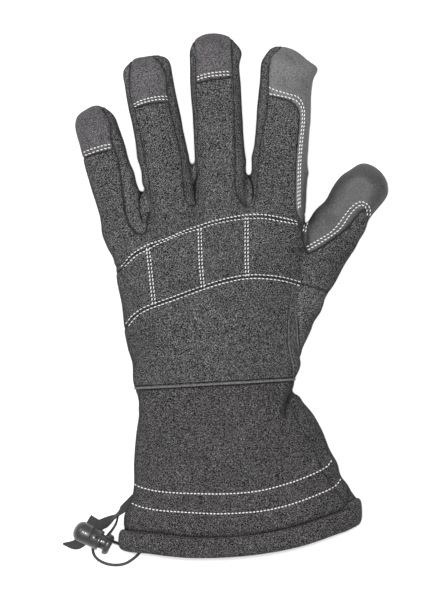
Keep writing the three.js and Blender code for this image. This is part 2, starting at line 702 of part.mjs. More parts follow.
function elasticSolid() {
  const curve = new THREE.CatmullRomCurve3(
    elasticRoute.map((point) => new THREE.Vector3(...point)), false, "centripetal",
  );
  const section = new THREE.Shape(
    ringOf(elastic.sides, (angle) => new THREE.Vector2(Math.cos(angle), Math.sin(angle))
      .multiplyScalar(elastic.radius)),
  );
  const geometry = new THREE.ExtrudeGeometry(section, {
    steps: elastic.steps, extrudePath: curve, bevelEnabled: false,
  });
  return toSolid(geometry);
}

function strip(rows) {
  return loft(
    rows.map((row, i) => {
      const before = rows[Math.max(i - 1, 0)];
      const after = rows[Math.min(i + 1, rows.length - 1)];
      const along = new THREE.Vector3(after.x - before.x, after.y - before.y, after.z - before.z);
      along.normalize();
      const side = new THREE.Vector3(along.y, -along.x, 0).normalize();
      side.applyAxisAngle(along, THREE.MathUtils.degToRad(row.lean));
      const face = new THREE.Vector3().crossVectors(side, along);
      const corners = [[1, 1], [-1, 1], [-1, -1], [1, -1]];
      return corners.map(([a, b]) =>
        new THREE.Vector3(row.x, row.y, row.z)
          .addScaledVector(side, (a * row.width) / 2)
          .addScaledVector(face, (b * ribbon.thick) / 2),
      );
    }),
  );
}

// Colours and finish
const fabric = { color: 0x55555a, roughness: 0.95, metalness: 0 };
const gussetFabric = { color: 0x4c4c50, roughness: 0.95, metalness: 0 };
const capFabric = { color: 0x666369, roughness: 0.8, metalness: 0 };
const leather = { color: 0x77777a, roughness: 0.7, metalness: 0 };
const plastic = { color: 0x1d1d1f, roughness: 0.4, metalness: 0 };
const cordCover = { color: 0x1a1a1c, roughness: 0.7, metalness: 0 };
const finishes = {
  cap_pinky: capFabric, cap_ring: capFabric, cap_middle: capFabric,
  index_patch: leather, thumb_patch: leather, thumb_front: leather, palm: leather,
  finger_front_pinky: leather, finger_front_ring: leather, finger_front_middle: leather,
  finger_front_index: leather,
  fourchette_pinky_ring: gussetFabric, fourchette_ring_middle: gussetFabric,
  fourchette_middle_index: gussetFabric,
  lock_barrel: plastic, lock_plunger: plastic, elastic_cord: cordCover,
};

const pieces = {
  ...handPieces(),
  wrist_seam: wristSolid(),
  ...gauntletPieces(),
  hem_tunnel: hemSolid(),
  ribbon_tab: union(ribbonStrips.map(strip)),
  lock_barrel: placeLock(lockBarrel()),
  lock_plunger: placeLock(lockPlunger()),
  elastic_cord: elasticSolid(),
};

const glove = new THREE.Group();
glove.position.set(-origin.x, -origin.y, 0);
for (const [name, solid] of Object.entries(pieces)) {
  const material = new THREE.MeshStandardMaterial(finishes[name] ?? fabric);
  const mesh = new THREE.Mesh(toGeometry(largestBody(solid)), material);
  mesh.name = name;
  glove.add(mesh);
}

export default glove;
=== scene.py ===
import math

import bpy
import numpy as np
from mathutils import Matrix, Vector
from mathutils.bvhtree import BVHTree


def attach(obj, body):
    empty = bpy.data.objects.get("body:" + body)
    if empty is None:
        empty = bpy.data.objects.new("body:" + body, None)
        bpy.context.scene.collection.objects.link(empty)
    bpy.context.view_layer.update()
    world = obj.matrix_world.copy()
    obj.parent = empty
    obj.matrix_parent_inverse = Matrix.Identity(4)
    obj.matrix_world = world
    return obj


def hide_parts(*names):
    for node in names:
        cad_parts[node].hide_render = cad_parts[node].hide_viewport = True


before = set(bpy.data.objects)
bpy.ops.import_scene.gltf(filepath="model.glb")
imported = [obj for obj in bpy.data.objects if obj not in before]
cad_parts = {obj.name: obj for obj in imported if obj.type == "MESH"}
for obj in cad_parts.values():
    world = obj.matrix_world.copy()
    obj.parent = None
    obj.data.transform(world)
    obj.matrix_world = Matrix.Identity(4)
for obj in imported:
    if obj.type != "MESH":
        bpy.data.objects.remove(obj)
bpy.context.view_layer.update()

# A padded winter work glove for the left hand, lying palm down. The shapes are worked out in
# millimetres on the glove's own lines, and toRow brings them into the frame of the CAD part.
# Sewn lines are given where the picture shows them, one pixel being 0.6 mm.

scene = bpy.context.scene
scene.view_settings.view_transform = "Standard"
turn = 2 * math.pi
rowShift = [3.2, -0.3, 0.0]
pixel = 0.6


def toRow(points):
    # row = (glove + shift) / 1000: millimetres on the glove to metres in the frame
    return (np.asarray(points, float) + rowShift) / 1000


def fromRow(points):
    # the other way round
    return points * 1000 - rowShift


def onGlove(points):
    # x = 0.6 (px - 230.5), y = 0.6 (295.5 - py): picture pixels to millimetres on the glove
    points = np.asarray(points, float)
    return np.column_stack(((points[:, 0] - 230.5) * pixel, (295.5 - points[:, 1]) * pixel))


backHeights = {"py": (30, 150, 230, 560), "z": (28, 36, 45, 48)}  # of the back, down the picture


def onBack(points):
    # the same, drawn in towards the picture's middle by (z - 18) / 6000: the lens shows what is
    # z millimetres up a little further out
    points = np.asarray(points, float)
    z = np.interp(points[:, 1], backHeights["py"], backHeights["z"])[:, None]
    return onGlove(points - (points - [221.5, 300.0]) * (z - 18) / 6000)


# Camera: straight above the glove, far off with a long lens
camera = {"x": -0.0022, "y": -0.0030, "plane": 0.018, "distance": 6.0, "lens": 600, "sensor": 36}
cameraData = bpy.data.cameras.new("camera")
cameraData.lens = camera["lens"]
cameraData.sensor_width = camera["sensor"]
cameraData.clip_end = 40
cameraObject = bpy.data.objects.new("camera", cameraData)
cameraObject.location = (camera["x"], camera["y"], camera["plane"] + camera["distance"])
scene.collection.objects.link(cameraObject)
scene.camera = cameraObject


def unit(vectors):
    # v / |v|
    return vectors / np.maximum(np.linalg.norm(vectors, axis=-1, keepdims=True), 1e-12)


def newObject(name, points, faces):
    # a mesh in the scene, its points in metres and its faces as a list of corner indices
    mesh = bpy.data.meshes.new(name)
    mesh.from_pydata(points, [], faces)
    made = bpy.data.objects.new(name, mesh)
    scene.collection.objects.link(made)
    return made


def newPiece(name, points, faces, smooth=True):
    # points in millimetres on the glove, faces as an array or a list
    piece = newObject(name, toRow(points), faces if isinstance(faces, list) else faces.tolist())
    mesh = piece.data
    mesh.validate()
    mesh.polygons.foreach_set("use_smooth", np.full(len(mesh.polygons), smooth))
    return piece


def finished(piece, finish, nodes=(), body="glove"):
    # the finish, the solids that the piece stands in for and the body that it rides on
    piece.data.materials.append(finishes[finish])
    if nodes:
        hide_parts(*nodes)
    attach(piece, body)
    return piece


def gridFaces(rings, sides, loopAlong=False):
    # quads (r, s), (r, s + 1), (r + 1, s + 1), (r + 1, s) over rings that each close on themselves
    count = rings if loopAlong else rings - 1
    r, s = np.meshgrid(np.arange(count), np.arange(sides), indexing="ij")
    r, s = r.ravel(), s.ravel()
    nextR, nextS = (r + 1) % rings, (s + 1) % sides
    corners = (r * sides + s, r * sides + nextS, nextR * sides + nextS, nextR * sides + s)
    return np.column_stack(corners)


def closedLoft(grid):
    # rings of points with a pole in the middle of the first and of the last ring
    rings, sides = grid.shape[:2]
    count = rings * sides
    points = np.vstack((grid.reshape(-1, 3), grid[0].mean(0), grid[-1].mean(0)))
    s = np.arange(sides)
    nextS = (s + 1) % sides
    first = np.column_stack((s, nextS, np.full(sides, count)))
    last = np.column_stack((nextS, s, np.full(sides, count + 1)))
    last[:, :2] += (rings - 1) * sides
    return points, gridFaces(rings, sides), np.vstack((first[:, ::-1], last[:, ::-1]))


def cornerPoints(mesh):
    # which point of the mesh each face corner stands on
    index = np.zeros(len(mesh.loops), np.int64)
    mesh.loops.foreach_get("vertex_index", index)
    return index


def layUv(mesh, uv):
    # the map that the weave and the braid read
    layer = mesh.uv_layers.new(name="lay")
    layer.data.foreach_set("uv", uv.astype(np.float32).ravel())


def gridUv(mesh, rings, sides, along, across):
    # u runs round the piece and v along it; a face that closes a ring reads u = across at its end
    index = cornerPoints(mesh)
    r, s = index // sides, index % sides
    wraps = np.repeat(np.ptp(s.reshape(-1, 4), axis=1) > 1, 4) & (s == 0)
    layUv(mesh, np.column_stack(((s + wraps * sides) / sides * across, r / (rings - 1) * along)))


def cubic(t, start, end, leave, arrive):
    # start (2t^3 - 3t^2 + 1) + end (3t^2 - 2t^3) + leave (t^3 - 2t^2 + t) + arrive (t^3 - t^2)
    value = start * (2 * t**3 - 3 * t**2 + 1) + end * (3 * t**2 - 2 * t**3)
    return value + leave * (t**3 - 2 * t**2 + t) + arrive * (t**3 - t**2)


def smoothPath(points, each):
    # centripetal Catmull-Rom: cubic Hermite pieces with knots |p(i+1) - p(i)|^0.5 apart
    p = np.asarray(points, float)
    p = np.vstack((2 * p[0] - p[1], p, 2 * p[-1] - p[-2]))
    d = np.linalg.norm(np.diff(p, axis=0), axis=1)[:, None] ** 0.5
    p0, p1, p2, p3 = p[:-3], p[1:-2], p[2:-1], p[3:]
    d0, d1, d2 = d[:-2], d[1:-1], d[2:]
    m1 = ((p1 - p0) / d0 - (p2 - p0) / (d0 + d1) + (p2 - p1) / d1) * d1
    m2 = ((p2 - p1) / d1 - (p3 - p1) / (d1 + d2) + (p3 - p2) / d2) * d1
    t = (np.arange(each) / each)[None, :, None]
    path = cubic(t, *(v[:, None, :] for v in (p1, p2, m1, m2)))
    return np.vstack((path.reshape(-1, p.shape[1]), p[-2]))


def farAlong(path):
    # how far along a path each of its points lies
    return np.concatenate(([0], np.cumsum(np.linalg.norm(np.diff(path, axis=0), axis=1))))


def readAt(stops, far, values):
    # rows of values, given at distances along a path, read at other stops
    return np.column_stack([np.interp(stops, far, column) for column in values.T])


def evenly(path, step):
    # points a step apart along a path
    far = farAlong(path)
    stops = np.linspace(0, far[-1], max(int(round(far[-1] / step)), 2) + 1)
    return readAt(stops, far, path)


def framesAlong(path):
    # two normals to the path that are carried along it without twisting
    tangents = unit(np.gradient(path, axis=0))
    start = np.cross(tangents[0], [0.0, 0.0, 1.0])
    if np.linalg.norm(start) < 0.1:
        start = np.cross(tangents[0], [1.0, 0.0, 0.0])
    sides = [start / np.linalg.norm(start)]
    for tangent in tangents[1:]:
        side = sides[-1] - tangent * (sides[-1] @ tangent)
        sides.append(side / np.linalg.norm(side))
    sides = np.array(sides)
    return sides, np.cross(tangents, sides)


# Elastic cord: out of the hem's end, over the button, through the lock and back into the hem
elastic = {  # length and diameter in metres, the route in millimetres on the glove
    "length": 0.0709,
    "diameter": 0.0018,
    "sides": 16,
    "step": 0.6,
    "route": [
        (-66.7, -149.2, 14.4), (-70.6, -147.6, 16.8), (-74.2, -146.0, 18.5),
        (-75.8, -145.3, 18.8), (-77.4, -144.9, 18.5), (-78.8, -144.7, 17.6),
        (-79.9, -144.9, 16.3), (-80.5, -145.3, 14.8), (-81.3, -147.0, 9.5),
        (-82.0, -148.5, 4.8), (-82.3, -149.1, 3.7), (-82.5, -150.0, 2.8),
        (-82.6, -151.2, 2.2), (-82.8, -152.5, 1.9), (-82.4, -155.2, 1.3),
        (-81.0, -157.6, 1.1), (-78.6, -159.6, 1.0), (-75.4, -161.1, 1.0),
        (-71.6, -162.0, 1.0), (-67.4, -162.1, 1.0), (-63.2, -161.2, 1.0),
        (-59.4, -159.0, 1.2), (-56.2, -156.4, 1.8), (-53.8, -153.4, 2.8),
    ],
}


def makeElastic():
    # circle of the cord's radius carried along the route: path + r (cos a side + sin a up)
    path = evenly(smoothPath(elastic["route"], 12), elastic["step"])
    sides, ups = framesAlong(path)
    a = np.arange(elastic["sides"]) / elastic["sides"] * turn
    radius = elastic["diameter"] * 500
    ring = np.cos(a)[None, :, None] * sides[:, None] + np.sin(a)[None, :, None] * ups[:, None]
    grid = path[:, None] + radius * ring
    rings, around = grid.shape[:2]
    piece = newPiece("elasticCord", grid.reshape(-1, 3), gridFaces(rings, around))
    gridUv(piece.data, rings, around, elastic["length"] * 1000, turn * radius)
    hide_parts("elastic_cord")
    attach(piece, "glove")
    return piece


elasticPiece = makeElastic()
print("cord laid")


class Signal:
    # a socket in a material's tree, with the operators that the finishes use
    def __init__(self, tree, socket=None):
        self.tree, self.socket = tree, socket

    def node(self, kind, settings, inputs, output=0):
        made = self.tree.nodes.new("ShaderNode" + kind)
        for key, value in settings.items():
            if key == "stops":
                while len(made.color_ramp.elements) < len(value):
                    made.color_ramp.elements.new(0.5)
                for element, (at, colour) in zip(made.color_ramp.elements, value):
                    element.position, element.color = at, (*colour, 1)
            else:
                setattr(made, key, value)
        for key, value in inputs.items():
            if isinstance(value, Signal):
                self.tree.links.new(value.socket, made.inputs[key])
            else:
                made.inputs[key].default_value = value
        return Signal(self.tree, made.outputs[output])

    def maths(self, operation, first, second=0.0, clamp=False):
        settings = {"operation": operation, "use_clamp": clamp}
        return self.node("Math", settings, {0: first, 1: second})

    def __add__(self, other):
        return self.maths("ADD", self, other)

    def __radd__(self, other):
        return self.maths("ADD", other, self)

    def __sub__(self, other):
        return self.maths("SUBTRACT", self, other)

    def __rsub__(self, other):
        return self.maths("SUBTRACT", other, self)

    def __mul__(self, other):
        return self.maths("MULTIPLY", self, other)

    def __rmul__(self, other):
        return self.maths("MULTIPLY", other, self)

    def clamped(self):
        return self.maths("ADD", self, 0.0, True)

    def noise(self, where, scale, detail=2.0, rough=0.5):
        inputs = {"Vector": where, "Scale": scale, "Detail": detail, "Roughness": rough}
        return self.node("TexNoise", {}, inputs)

    def bumped(self, height, strength, distance):
        inputs = {"Strength": strength, "Distance": distance, "Height": height}
        return self.node("Bump", {}, inputs)

    def mixed(self, share, first, second):
        # share 0 gives the first colour and 1 the second
        inputs = {0: share, 6: first, 7: second}
        return self.node("Mix", {"data_type": "RGBA"}, inputs, 2)

    def place(self):
        return self.node("TexCoord", {}, {}, 3)

    def laid(self):
        return self.node("UVMap", {"uv_map": "lay"}, {})

    def seamed(self, colour, share):
        # painted shade: the colour goes towards black by the painted shade attribute (seams, channels,
        # creases, soft patches, steep sides) times the share, and by 1 - off^2 along a painted shadow
        # line
        near = self.node("Attribute", {"attribute_name": "seam"}, {}, 2)
        fold = self.node("Attribute", {"attribute_name": "fold"}, {}, 1)
        off, dark = (self.node("SeparateXYZ", {}, {"Vector": fold}, k) for k in (0, 1))
        thin = (1 - off * off).clamped() * dark
        return self.mixed((near * share + thin).clamped(), colour, (0.004, 0.004, 0.004, 1))


def grey(level, warm=0.0, violet=0.0):
    # a picture value from 0 to 255 as linear light, with a faint cast
    tone = [level + warm + violet, level - violet, level - warm + violet]
    tone = [min(max(v, 0), 255) / 255 for v in tone]
    return (*[v / 12.92 if v < 0.04045 else ((v + 0.055) / 1.055) ** 2.4 for v in tone], 1.0)


def newMaterial(name, constants, recipe):
    # constants go on the shader's own sockets, and the recipe links what changes over a surface
    material = bpy.data.materials.new(name)
    material.use_nodes = True
    tree = material.node_tree
    shader = tree.nodes["Principled BSDF"]
    for key, value in constants.items():
        shader.inputs[key].default_value = value
    for key, value in recipe(Signal(tree)).items():
        tree.links.new(value.socket, shader.inputs[key])
    return material


def softshell(name, low, mid, high, bright, warm=0.0, violet=0.0):
    # heathered knit: fine speckle between three greys, broad slow variation, fuzzy bump; bright
    # moves the share of light flecks up or down
    def recipe(s):
        place = s.place()
        fine = s.noise(place, 3600.0, 0.0, 0.5)
        flecks = s.noise(place, 1900.0, 0.0, 0.5)
        broad = s.noise(place, 38.0, 3.0, 0.55)
        heather = (fine - 0.5) * 9.0 + (flecks - 0.5) * 2.0 + (broad - 0.5) * 0.4
        heather = (heather + bright).clamped()
        greys = [grey(level, warm, violet)[:3] for level in (low, mid, high)]
        stops = list(zip((0.0, 0.5, 1.0), greys))
        colour = s.node("ValToRGB", {"stops": stops}, {"Fac": heather})
        height = fine * 0.7 + flecks * 0.6 + broad * 1.5
        bump = s.bumped(height, 0.35, 0.0006)
        rough = 0.88 + fine * 0.1
        # the base colour carries painted shade at seams, creases, soft patches and steep sides, and
        # painted shadow lines
        return {"Base Color": s.seamed(colour, 0.75), "Normal": bump, "Roughness": rough}
    return newMaterial(name, {"Specular IOR Level": 0.2}, recipe)


def capKnit():
    # smooth close knit: low speckle with a faint violet cast
    def recipe(s):
        place = s.place()
        fine = s.noise(place, 3000.0, 0.0, 0.5)
        broad = s.noise(place, 60.0, 2.0, 0.5)
        blend = ((fine - 0.5) * 8.0 + (broad - 0.5) * 0.5 + 0.02).clamped()
        colour = s.mixed(blend, grey(11, 0, 1.0), grey(113, 0, 1.3))
        bump = s.bumped(fine, 0.25, 0.0004)
        rough = 0.66 + fine * 0.12
        # the base colour carries painted shade at seams, creases and steep sides, and painted shadow
        # lines
        return {"Base Color": s.seamed(colour, 0.75), "Normal": bump, "Roughness": rough}
    return newMaterial("capKnit", {"Specular IOR Level": 0.35}, recipe)


def leather(name, low, high, rough):
    # pebbled synthetic leather: cells for the grain, slow stains, rubbed high spots
    def recipe(s):
        place = s.place()
        grain = s.node("TexVoronoi", {"feature": "SMOOTH_F1"}, {"Vector": place, "Scale": 900.0})
        fine = s.noise(place, 2400.0, 0.0, 0.5)
        broad = s.noise(place, 45.0, 3.0, 0.55)
        blend = ((fine - 0.5) * 3.4 + (broad - 0.5) * 1.0 - grain * 0.25 + 0.62).clamped()
        # the base colour carries painted shade at seams and steep sides, and painted shadow lines
        colour = s.seamed(s.mixed(blend, grey(low), grey(high)), 0.7)
        height = broad * 1.2 + fine * 0.3 - grain * 0.8
        bump = s.bumped(height, 0.22, 0.0005)
        return {"Base Color": colour, "Normal": bump, "Roughness": rough + fine * 0.12}
    return newMaterial(name, {"Specular IOR Level": 0.4}, recipe)


def liningFleece():
    # brushed dark fleece inside the glove
    def recipe(s):
        pile = s.noise(s.place(), 700.0, 4.0, 0.7)
        bump = s.bumped(pile, 0.6, 0.001)
        return {"Base Color": s.mixed(pile, grey(30), grey(54)), "Normal": bump}
    return newMaterial("liningFleece", {"Roughness": 1.0, "Sheen Weight": 0.3}, recipe)


def thread(name, low, high):
    # sewing thread: slightly uneven colour along each stitch
    def recipe(s):
        fine = s.noise(s.place(), 900.0, 2.0, 0.6)
        return {"Base Color": s.mixed(fine, grey(low, 1), grey(high, 1))}
    return newMaterial(name, {"Roughness": 0.6, "Specular IOR Level": 0.35}, recipe)


def webbingWeave():
    # ribbed ribbon: cross ribs along the strip and a twill line over them, on its own UV
    def recipe(s):
        lay = s.laid()
        ribs = s.node(
            "TexWave", {"wave_type": "BANDS", "bands_direction": "Y"},
            {"Vector": lay, "Scale": 0.55, "Distortion": 0.6, "Detail": 1.0, "Detail Scale": 2.0},
        )
        twill = s.node(
            "TexWave", {"wave_type": "BANDS", "bands_direction": "DIAGONAL"},
            {"Vector": lay, "Scale": 0.5, "Distortion": 0.3},
        )
        weave = ribs * 0.6 + twill * 0.4
        bump = s.bumped(weave, 0.5, 0.0003)
        colour = s.mixed(weave, grey(22), grey(52))
        return {"Base Color": colour, "Normal": bump}
    return newMaterial("webbingWeave", {"Roughness": 0.7, "Specular IOR Level": 0.4}, recipe)


def lockPlastic():
    # moulded plastic: fine texture, a little lighter where it is rubbed
    def recipe(s):
        place = s.place()
        fine = s.noise(place, 2600.0, 2.0, 0.6)
        rubbed = s.noise(place, 240.0, 3.0, 0.6)
        bump = s.bumped(fine, 0.12, 0.0002)
        colour = s.mixed(rubbed, grey(44), grey(64))
        return {"Base Color": colour, "Normal": bump, "Roughness": 0.3 + rubbed * 0.16}
    return newMaterial("lockPlastic", {"Specular IOR Level": 0.4, "Coat Weight": 0.1}, recipe)


def elasticBraid():
    # braid: two sets of diagonal strands over each other, on the cord's own UV
    def recipe(s):
        lay = s.laid()
        strands = [
            s.node("TexWave", {"wave_type": "BANDS", "bands_direction": "X"}, {
                "Vector": s.node("Mapping", {}, {"Vector": lay, "Rotation": (0, 0, angle)}),
                "Scale": 0.7,
            })
            for angle in (0.9, -0.9)
        ]
        braid = strands[0] * strands[1]
        bump = s.bumped(braid, 0.35, 0.0002)
        return {"Base Color": s.mixed(braid, grey(14), grey(46)), "Normal": bump}
    return newMaterial("elasticBraid", {"Roughness": 0.42, "Specular IOR Level": 0.5}, recipe)


finishes = {
    "softshell": softshell("softshell", 4, 41, 149, -0.47),
    "cuffShell": softshell("cuffShell", 4, 37, 136, -0.51, 0.8, 0.5),
    "gussetShell": softshell("gussetShell", 4, 46, 154, -0.35),
    # lighter copies of the softshell: painted highlight on the wrist bead and on the heel ridges
    "litBeadShell": softshell("litBeadShell", 34, 82, 132, 0.5),
    "litRidgeShell": softshell("litRidgeShell", 28, 72, 122, 0.4),
    "capKnit": capKnit(),
    "indexLeather": leather("indexLeather", 56, 106, 0.55),
    "thumbLeather": leather("thumbLeather", 30, 77, 0.55),
    "palmLeather": leather("palmLeather", 38, 66, 0.6),
    "lining": liningFleece(),
    "whiteThread": thread("whiteThread", 200, 236),
    "darkThread": thread("darkThread", 16, 30),
    "webbing": webbingWeave(),
    "plastic": lockPlastic(),
    "elastic": elasticBraid(),
}
elasticPiece.data.materials.append(finishes["elastic"])
print("finishes mixed")


# Body of the glove: sections of hand and cuff, four fingers and the thumb, fused into one skin
handRows = [  # y in the middle, left and right edge, slope across, height of top, side and bottom
    (-52.1, -56.6, 38.0, 0.056, 40.0, 17.0, 1.6),
    (-33.0, -61.0, 40.2, 0.06, 43.0, 17.5, -0.6),
    (-9.0, -65.2, 41.6, 0.08, 45.0, 18.0, -0.6),
    (14.0, -68.4, 43.6, 0.1, 45.6, 18.5, -0.6),
    (32.0, -70.4, 44.2, 0.14, 44.2, 19.0, 0.6),
    (42.0, -68.0, 43.4, 0.17, 40.5, 19.5, 3.0),
    (49.0, -63.0, 40.0, 0.17, 34.0, 20.0, 7.0),
    (53.0, -55.0, 34.0, 0.17, 26.0, 20.5, 14.0),
]
cuffRows = [  # leftX, leftY, rightX, rightY, bow, top, side, bottom
    (-63.4, -166.0, 75.0, -151.5, 12.6, 47.0, 14.0, 0.6),
    (-63.4, -144.9, 75.0, -130.4, 12.6, 47.0, 14.0, 0.6),
    (-63.4, -138.1, 74.4, -123.6, 13.2, 47.8, 14.0, 0.2),
    (-62.6, -131.6, 71.0, -117.0, 13.4, 48.0, 14.0, -0.6),
    (-60.4, -125.0, 66.4, -110.0, 13.0, 46.0, 14.0, -0.6),
    (-58.0, -113.6, 60.8, -98.6, 12.4, 45.0, 14.0, -0.6),
    (-57.8, -99.2, 57.6, -87.0, 9.0, 44.0, 14.5, -0.6),
    (-56.6, -84.8, 51.4, -74.6, 5.0, 41.5, 15.5, 0.6),
    (-54.6, -67.4, 40.6, -60.2, 1.0, 39.0, 16.5, 2.0),
]
fingers = {  # base, tip, widths at crotch, middle and tip, height against the middle finger
    "pinky": {"base": (-57.9, 27.4), "tip": (-83.7, 113.8), "widths": (28.6, 26.8, 25.0),
              "height": 0.88, "slant": -0.1},
    "ring": {"base": (-30.3, 33.4), "tip": (-51.7, 144.6), "widths": (30.6, 30.6, 30.2),
             "height": 0.97, "slant": 0.02},
    "middle": {"base": (-3.9, 36.4), "tip": (-10.2, 157.6), "widths": (31.2, 31.6, 31.0),
               "height": 1.0, "slant": -0.05},
    "index": {"base": (26.1, 36.4), "tip": (34.6, 148.4), "widths": (34.0, 32.8, 32.4),
              "height": 1.0, "slant": -0.3},
}
fingerForm = {"sunk": 0.06, "root": 1.08, "leanFrom": 0.78}  # shares of its length and width
fingerHeights = {"at": (0, 0.28, 0.6, 0.9, 1), "middle": (22, 20.6, 18, 13.6, 12.4),
                 "half": (18.6, 14.8, 12.4, 11.6, 11.4)}
thumbRows = [  # x, y, half width, middle, up, down
    (26.7, -29.6, 15.5, 14.5, 13.0, 13.5), (36.3, -8.6, 17.0, 14.5, 14.0, 14.5),
    (46.8, 14.2, 17.4, 14.5, 14.0, 14.5), (57.6, 34.2, 17.0, 14.0, 13.4, 13.4),
    (68.2, 50.4, 14.7, 13.4, 12.6, 12.4), (77.3, 63.0, 14.4, 13.0, 12.2, 12.2),
    (86.6, 77.2, 14.0, 12.6, 11.6, 11.8),
]
webs = [  # what closes the gap between two fingers: x, y, half width, then its other end
    ((-52.2, 42.0, 7.0), (-53.7, 63.5, 2.2)), ((-21.0, 50.0, 7.0), (-21.2, 72.5, 2.2)),
    ((12.2, 50.0, 7.0), (11.0, 73.0, 2.2)),
]
# points round and along, rings over a tip's length, rounds of easing, the voxels in metres
body = {"sides": 112, "rings": 150, "fingerSides": 64, "fingerRings": 90, "tipRings": 30,
        "tip": 12.5, "relax": 5, "voxel": 0.0009}
powers = {"hand": 2.45, "finger": 2.5, "thumb": 2.4, "web": 2.0, "tip": 2.05}  # 2 is an ellipse


def hermite(at, stops, values):
    # cubic between two stops, with the slopes (v[i+1] - v[i-1]) / (s[i+1] - s[i-1]) at each
    stops, values = np.asarray(stops, float), np.asarray(values, float)
    at = np.clip(at, stops[0], stops[-1])
    i = np.clip(np.searchsorted(stops, at) - 1, 0, len(stops) - 2)
    low, high = np.maximum(i - 1, 0), np.minimum(i + 2, len(stops) - 1)
    span = stops[i + 1] - stops[i]
    t = (at - stops[i]) / span
    a = (values[i + 1] - values[low]) / (stops[i + 1] - stops[low]) * span
    b = (values[high] - values[i]) / (stops[high] - stops[i]) * span
    return cubic(t, values[i], values[i + 1], a, b)


def rounded(sides, power):
    # across = sign(cos a) |cos a|^(2/p), up = sign(sin a) |sin a|^(2/p)
    a = np.arange(sides) / sides * turn
    c, s = np.cos(a), np.sin(a)
    return np.sign(c) * np.abs(c) ** (2 / power), np.sign(s) * np.abs(s) ** (2 / power)


def fullness(left, length):
    # (1 - share^p)^(1/p), where share runs from 0 to 1 over the last length of a tip
    share = np.clip(1 - left / length, 0, 1)
    return (1 - share ** powers["tip"]) ** (1 / powers["tip"])


def smoothstep(value, low, high):
    # t^2 (3 - 2t), where t runs from 0 at low to 1 at high
    t = np.clip((value - low) / (high - low), 0, 1)
    return t * t * (3 - 2 * t)


def bandSection(row, sides, power):
    # x = middle + across half, y = line(x) - bow (1 - across^2), z = side + up reach
    leftX, leftY, rightX, rightY, bow, top, side, bottom = (v[:, None] for v in row)
    across, up = rounded(sides, power)
    across, up = across[None], up[None]
    x = (leftX + rightX) / 2 + across * (rightX - leftX) / 2
    line = leftY + (rightY - leftY) * (x - leftX) / (rightX - leftX)
    y = line - bow * (1 - across**2) * np.where(up > 0, 1, 0.75)
    z = side + up * np.where(up > 0, top - side, side - bottom)
    return np.stack((x, y, z), -1)


def bodyRows(at):
    # the sections' measures at places along the middle; None gives evenly spaced sections
    rows = list(cuffRows)
    for y, left, right, slope, top, side, bottom in handRows:
        half = (right - left) / 2
        rows.append((left, y - slope * half, right, y + slope * half, 0, top, side, bottom))
    rows = np.array(rows)
    far = (rows[:, 1] + rows[:, 3]) / 2 - rows[:, 4] * 0.6
    if at is None:
        at = np.linspace(far[0], far[-1], body["rings"])
    return [hermite(at, far, rows[:, k]) for k in range(8)]


def stopsToTip(length, start):
    # even stops, then closer and closer ones over the rounded tip
    near = np.linspace(start, length - body["tip"], body["fingerRings"] - body["tipRings"] + 2)
    share = np.sin(np.linspace(0, math.pi / 2, body["tipRings"])) ** 1.3
    close = length - body["tip"] * (1 - share)
    return np.concatenate((near[:-1], np.minimum(close, length - 0.01)))


def fingerGrid(finger):
    # axis(at) + across (half + lean) on plan, middle + up rise above it
    base, tip = np.array(finger["base"]), np.array(finger["tip"])
    length = np.linalg.norm(tip - base)
    along = (tip - base) / length
    side = np.array([along[1], -along[0]])
    distance = stopsToTip(length, -fingerForm["sunk"] * length)
    at = distance / length
    crotch, middle, end = finger["widths"]
    widths = (crotch * fingerForm["root"], crotch, middle, end, end)
    taper = fullness(length - distance, body["tip"])
    half = hermite(at, fingerHeights["at"], widths) / 2 * taper
    rise = hermite(at, fingerHeights["at"], fingerHeights["half"]) * finger["height"] * taper
    level = hermite(at, fingerHeights["at"], fingerHeights["middle"])
    lean = finger["slant"] * smoothstep(at, fingerForm["leanFrom"], 1)
    across, up = rounded(body["fingerSides"], powers["finger"])
    out = across[None] * half[:, None]
    plan = base + (distance[:, None] + lean[:, None] * out)[..., None] * along
    plan = plan + out[..., None] * side
    return np.dstack((plan, level[:, None] + up[None] * rise[:, None]))


def thumbGrid():
    # the same tube, carried along a curve through the thumb's rows
    rows = np.array(thumbRows)
    path = smoothPath(rows[:, :2], 20)
    far = farAlong(path)
    length = far[-1]
    distance = stopsToTip(length, 0)
    stops = far[::20]
    spot = readAt(distance, far, path)
    heading = unit(readAt(distance, far, unit(np.gradient(path, axis=0))))
    side = np.column_stack((heading[:, 1], -heading[:, 0]))
    taper = fullness(length - distance, body["tip"])
    half, level, high, low = (hermite(distance, stops, rows[:, k]) for k in (2, 3, 4, 5))
    across, up = rounded(body["fingerSides"], powers["thumb"])
    plan = spot[:, None] + (across[None] * (half * taper)[:, None])[..., None] * side[:, None]
    reach = np.where(up[None] > 0, high[:, None], low[:, None]) * taper[:, None]
    return np.dstack((plan, level[:, None] + up[None] * reach))


def webGrid(web):
    # ellipse carried straight from one end to the other: across w, height 16 + up (13 - 3t), both
    # drawn in towards the ends by (1 - (2t - 1)^8)^0.5
    (x0, y0, w0), (x1, y1, w1) = web
    t = np.linspace(0, 1, 24)[:, None]
    across, up = rounded(32, powers["web"])
    close = np.sqrt(np.clip(1 - (2 * t - 1) ** 8, 0.001, 1))
    half = (w0 + (w1 - w0) * t) * close
    x = x0 + (x1 - x0) * t + across * half
    y = y0 + (y1 - y0) * t + 0 * across
    return np.dstack((x, y, 16 + up * (13 - 3 * t) * close))


def meshArrays(mesh):
    # a mesh's points, the point of each face corner, and its edges
    points = np.zeros(len(mesh.vertices) * 3)
    mesh.vertices.foreach_get("co", points)
    edges = np.zeros(len(mesh.edges) * 2, np.int64)
    mesh.edges.foreach_get("vertices", edges)
    return points.reshape(-1, 3), cornerPoints(mesh), edges.reshape(-1, 2)


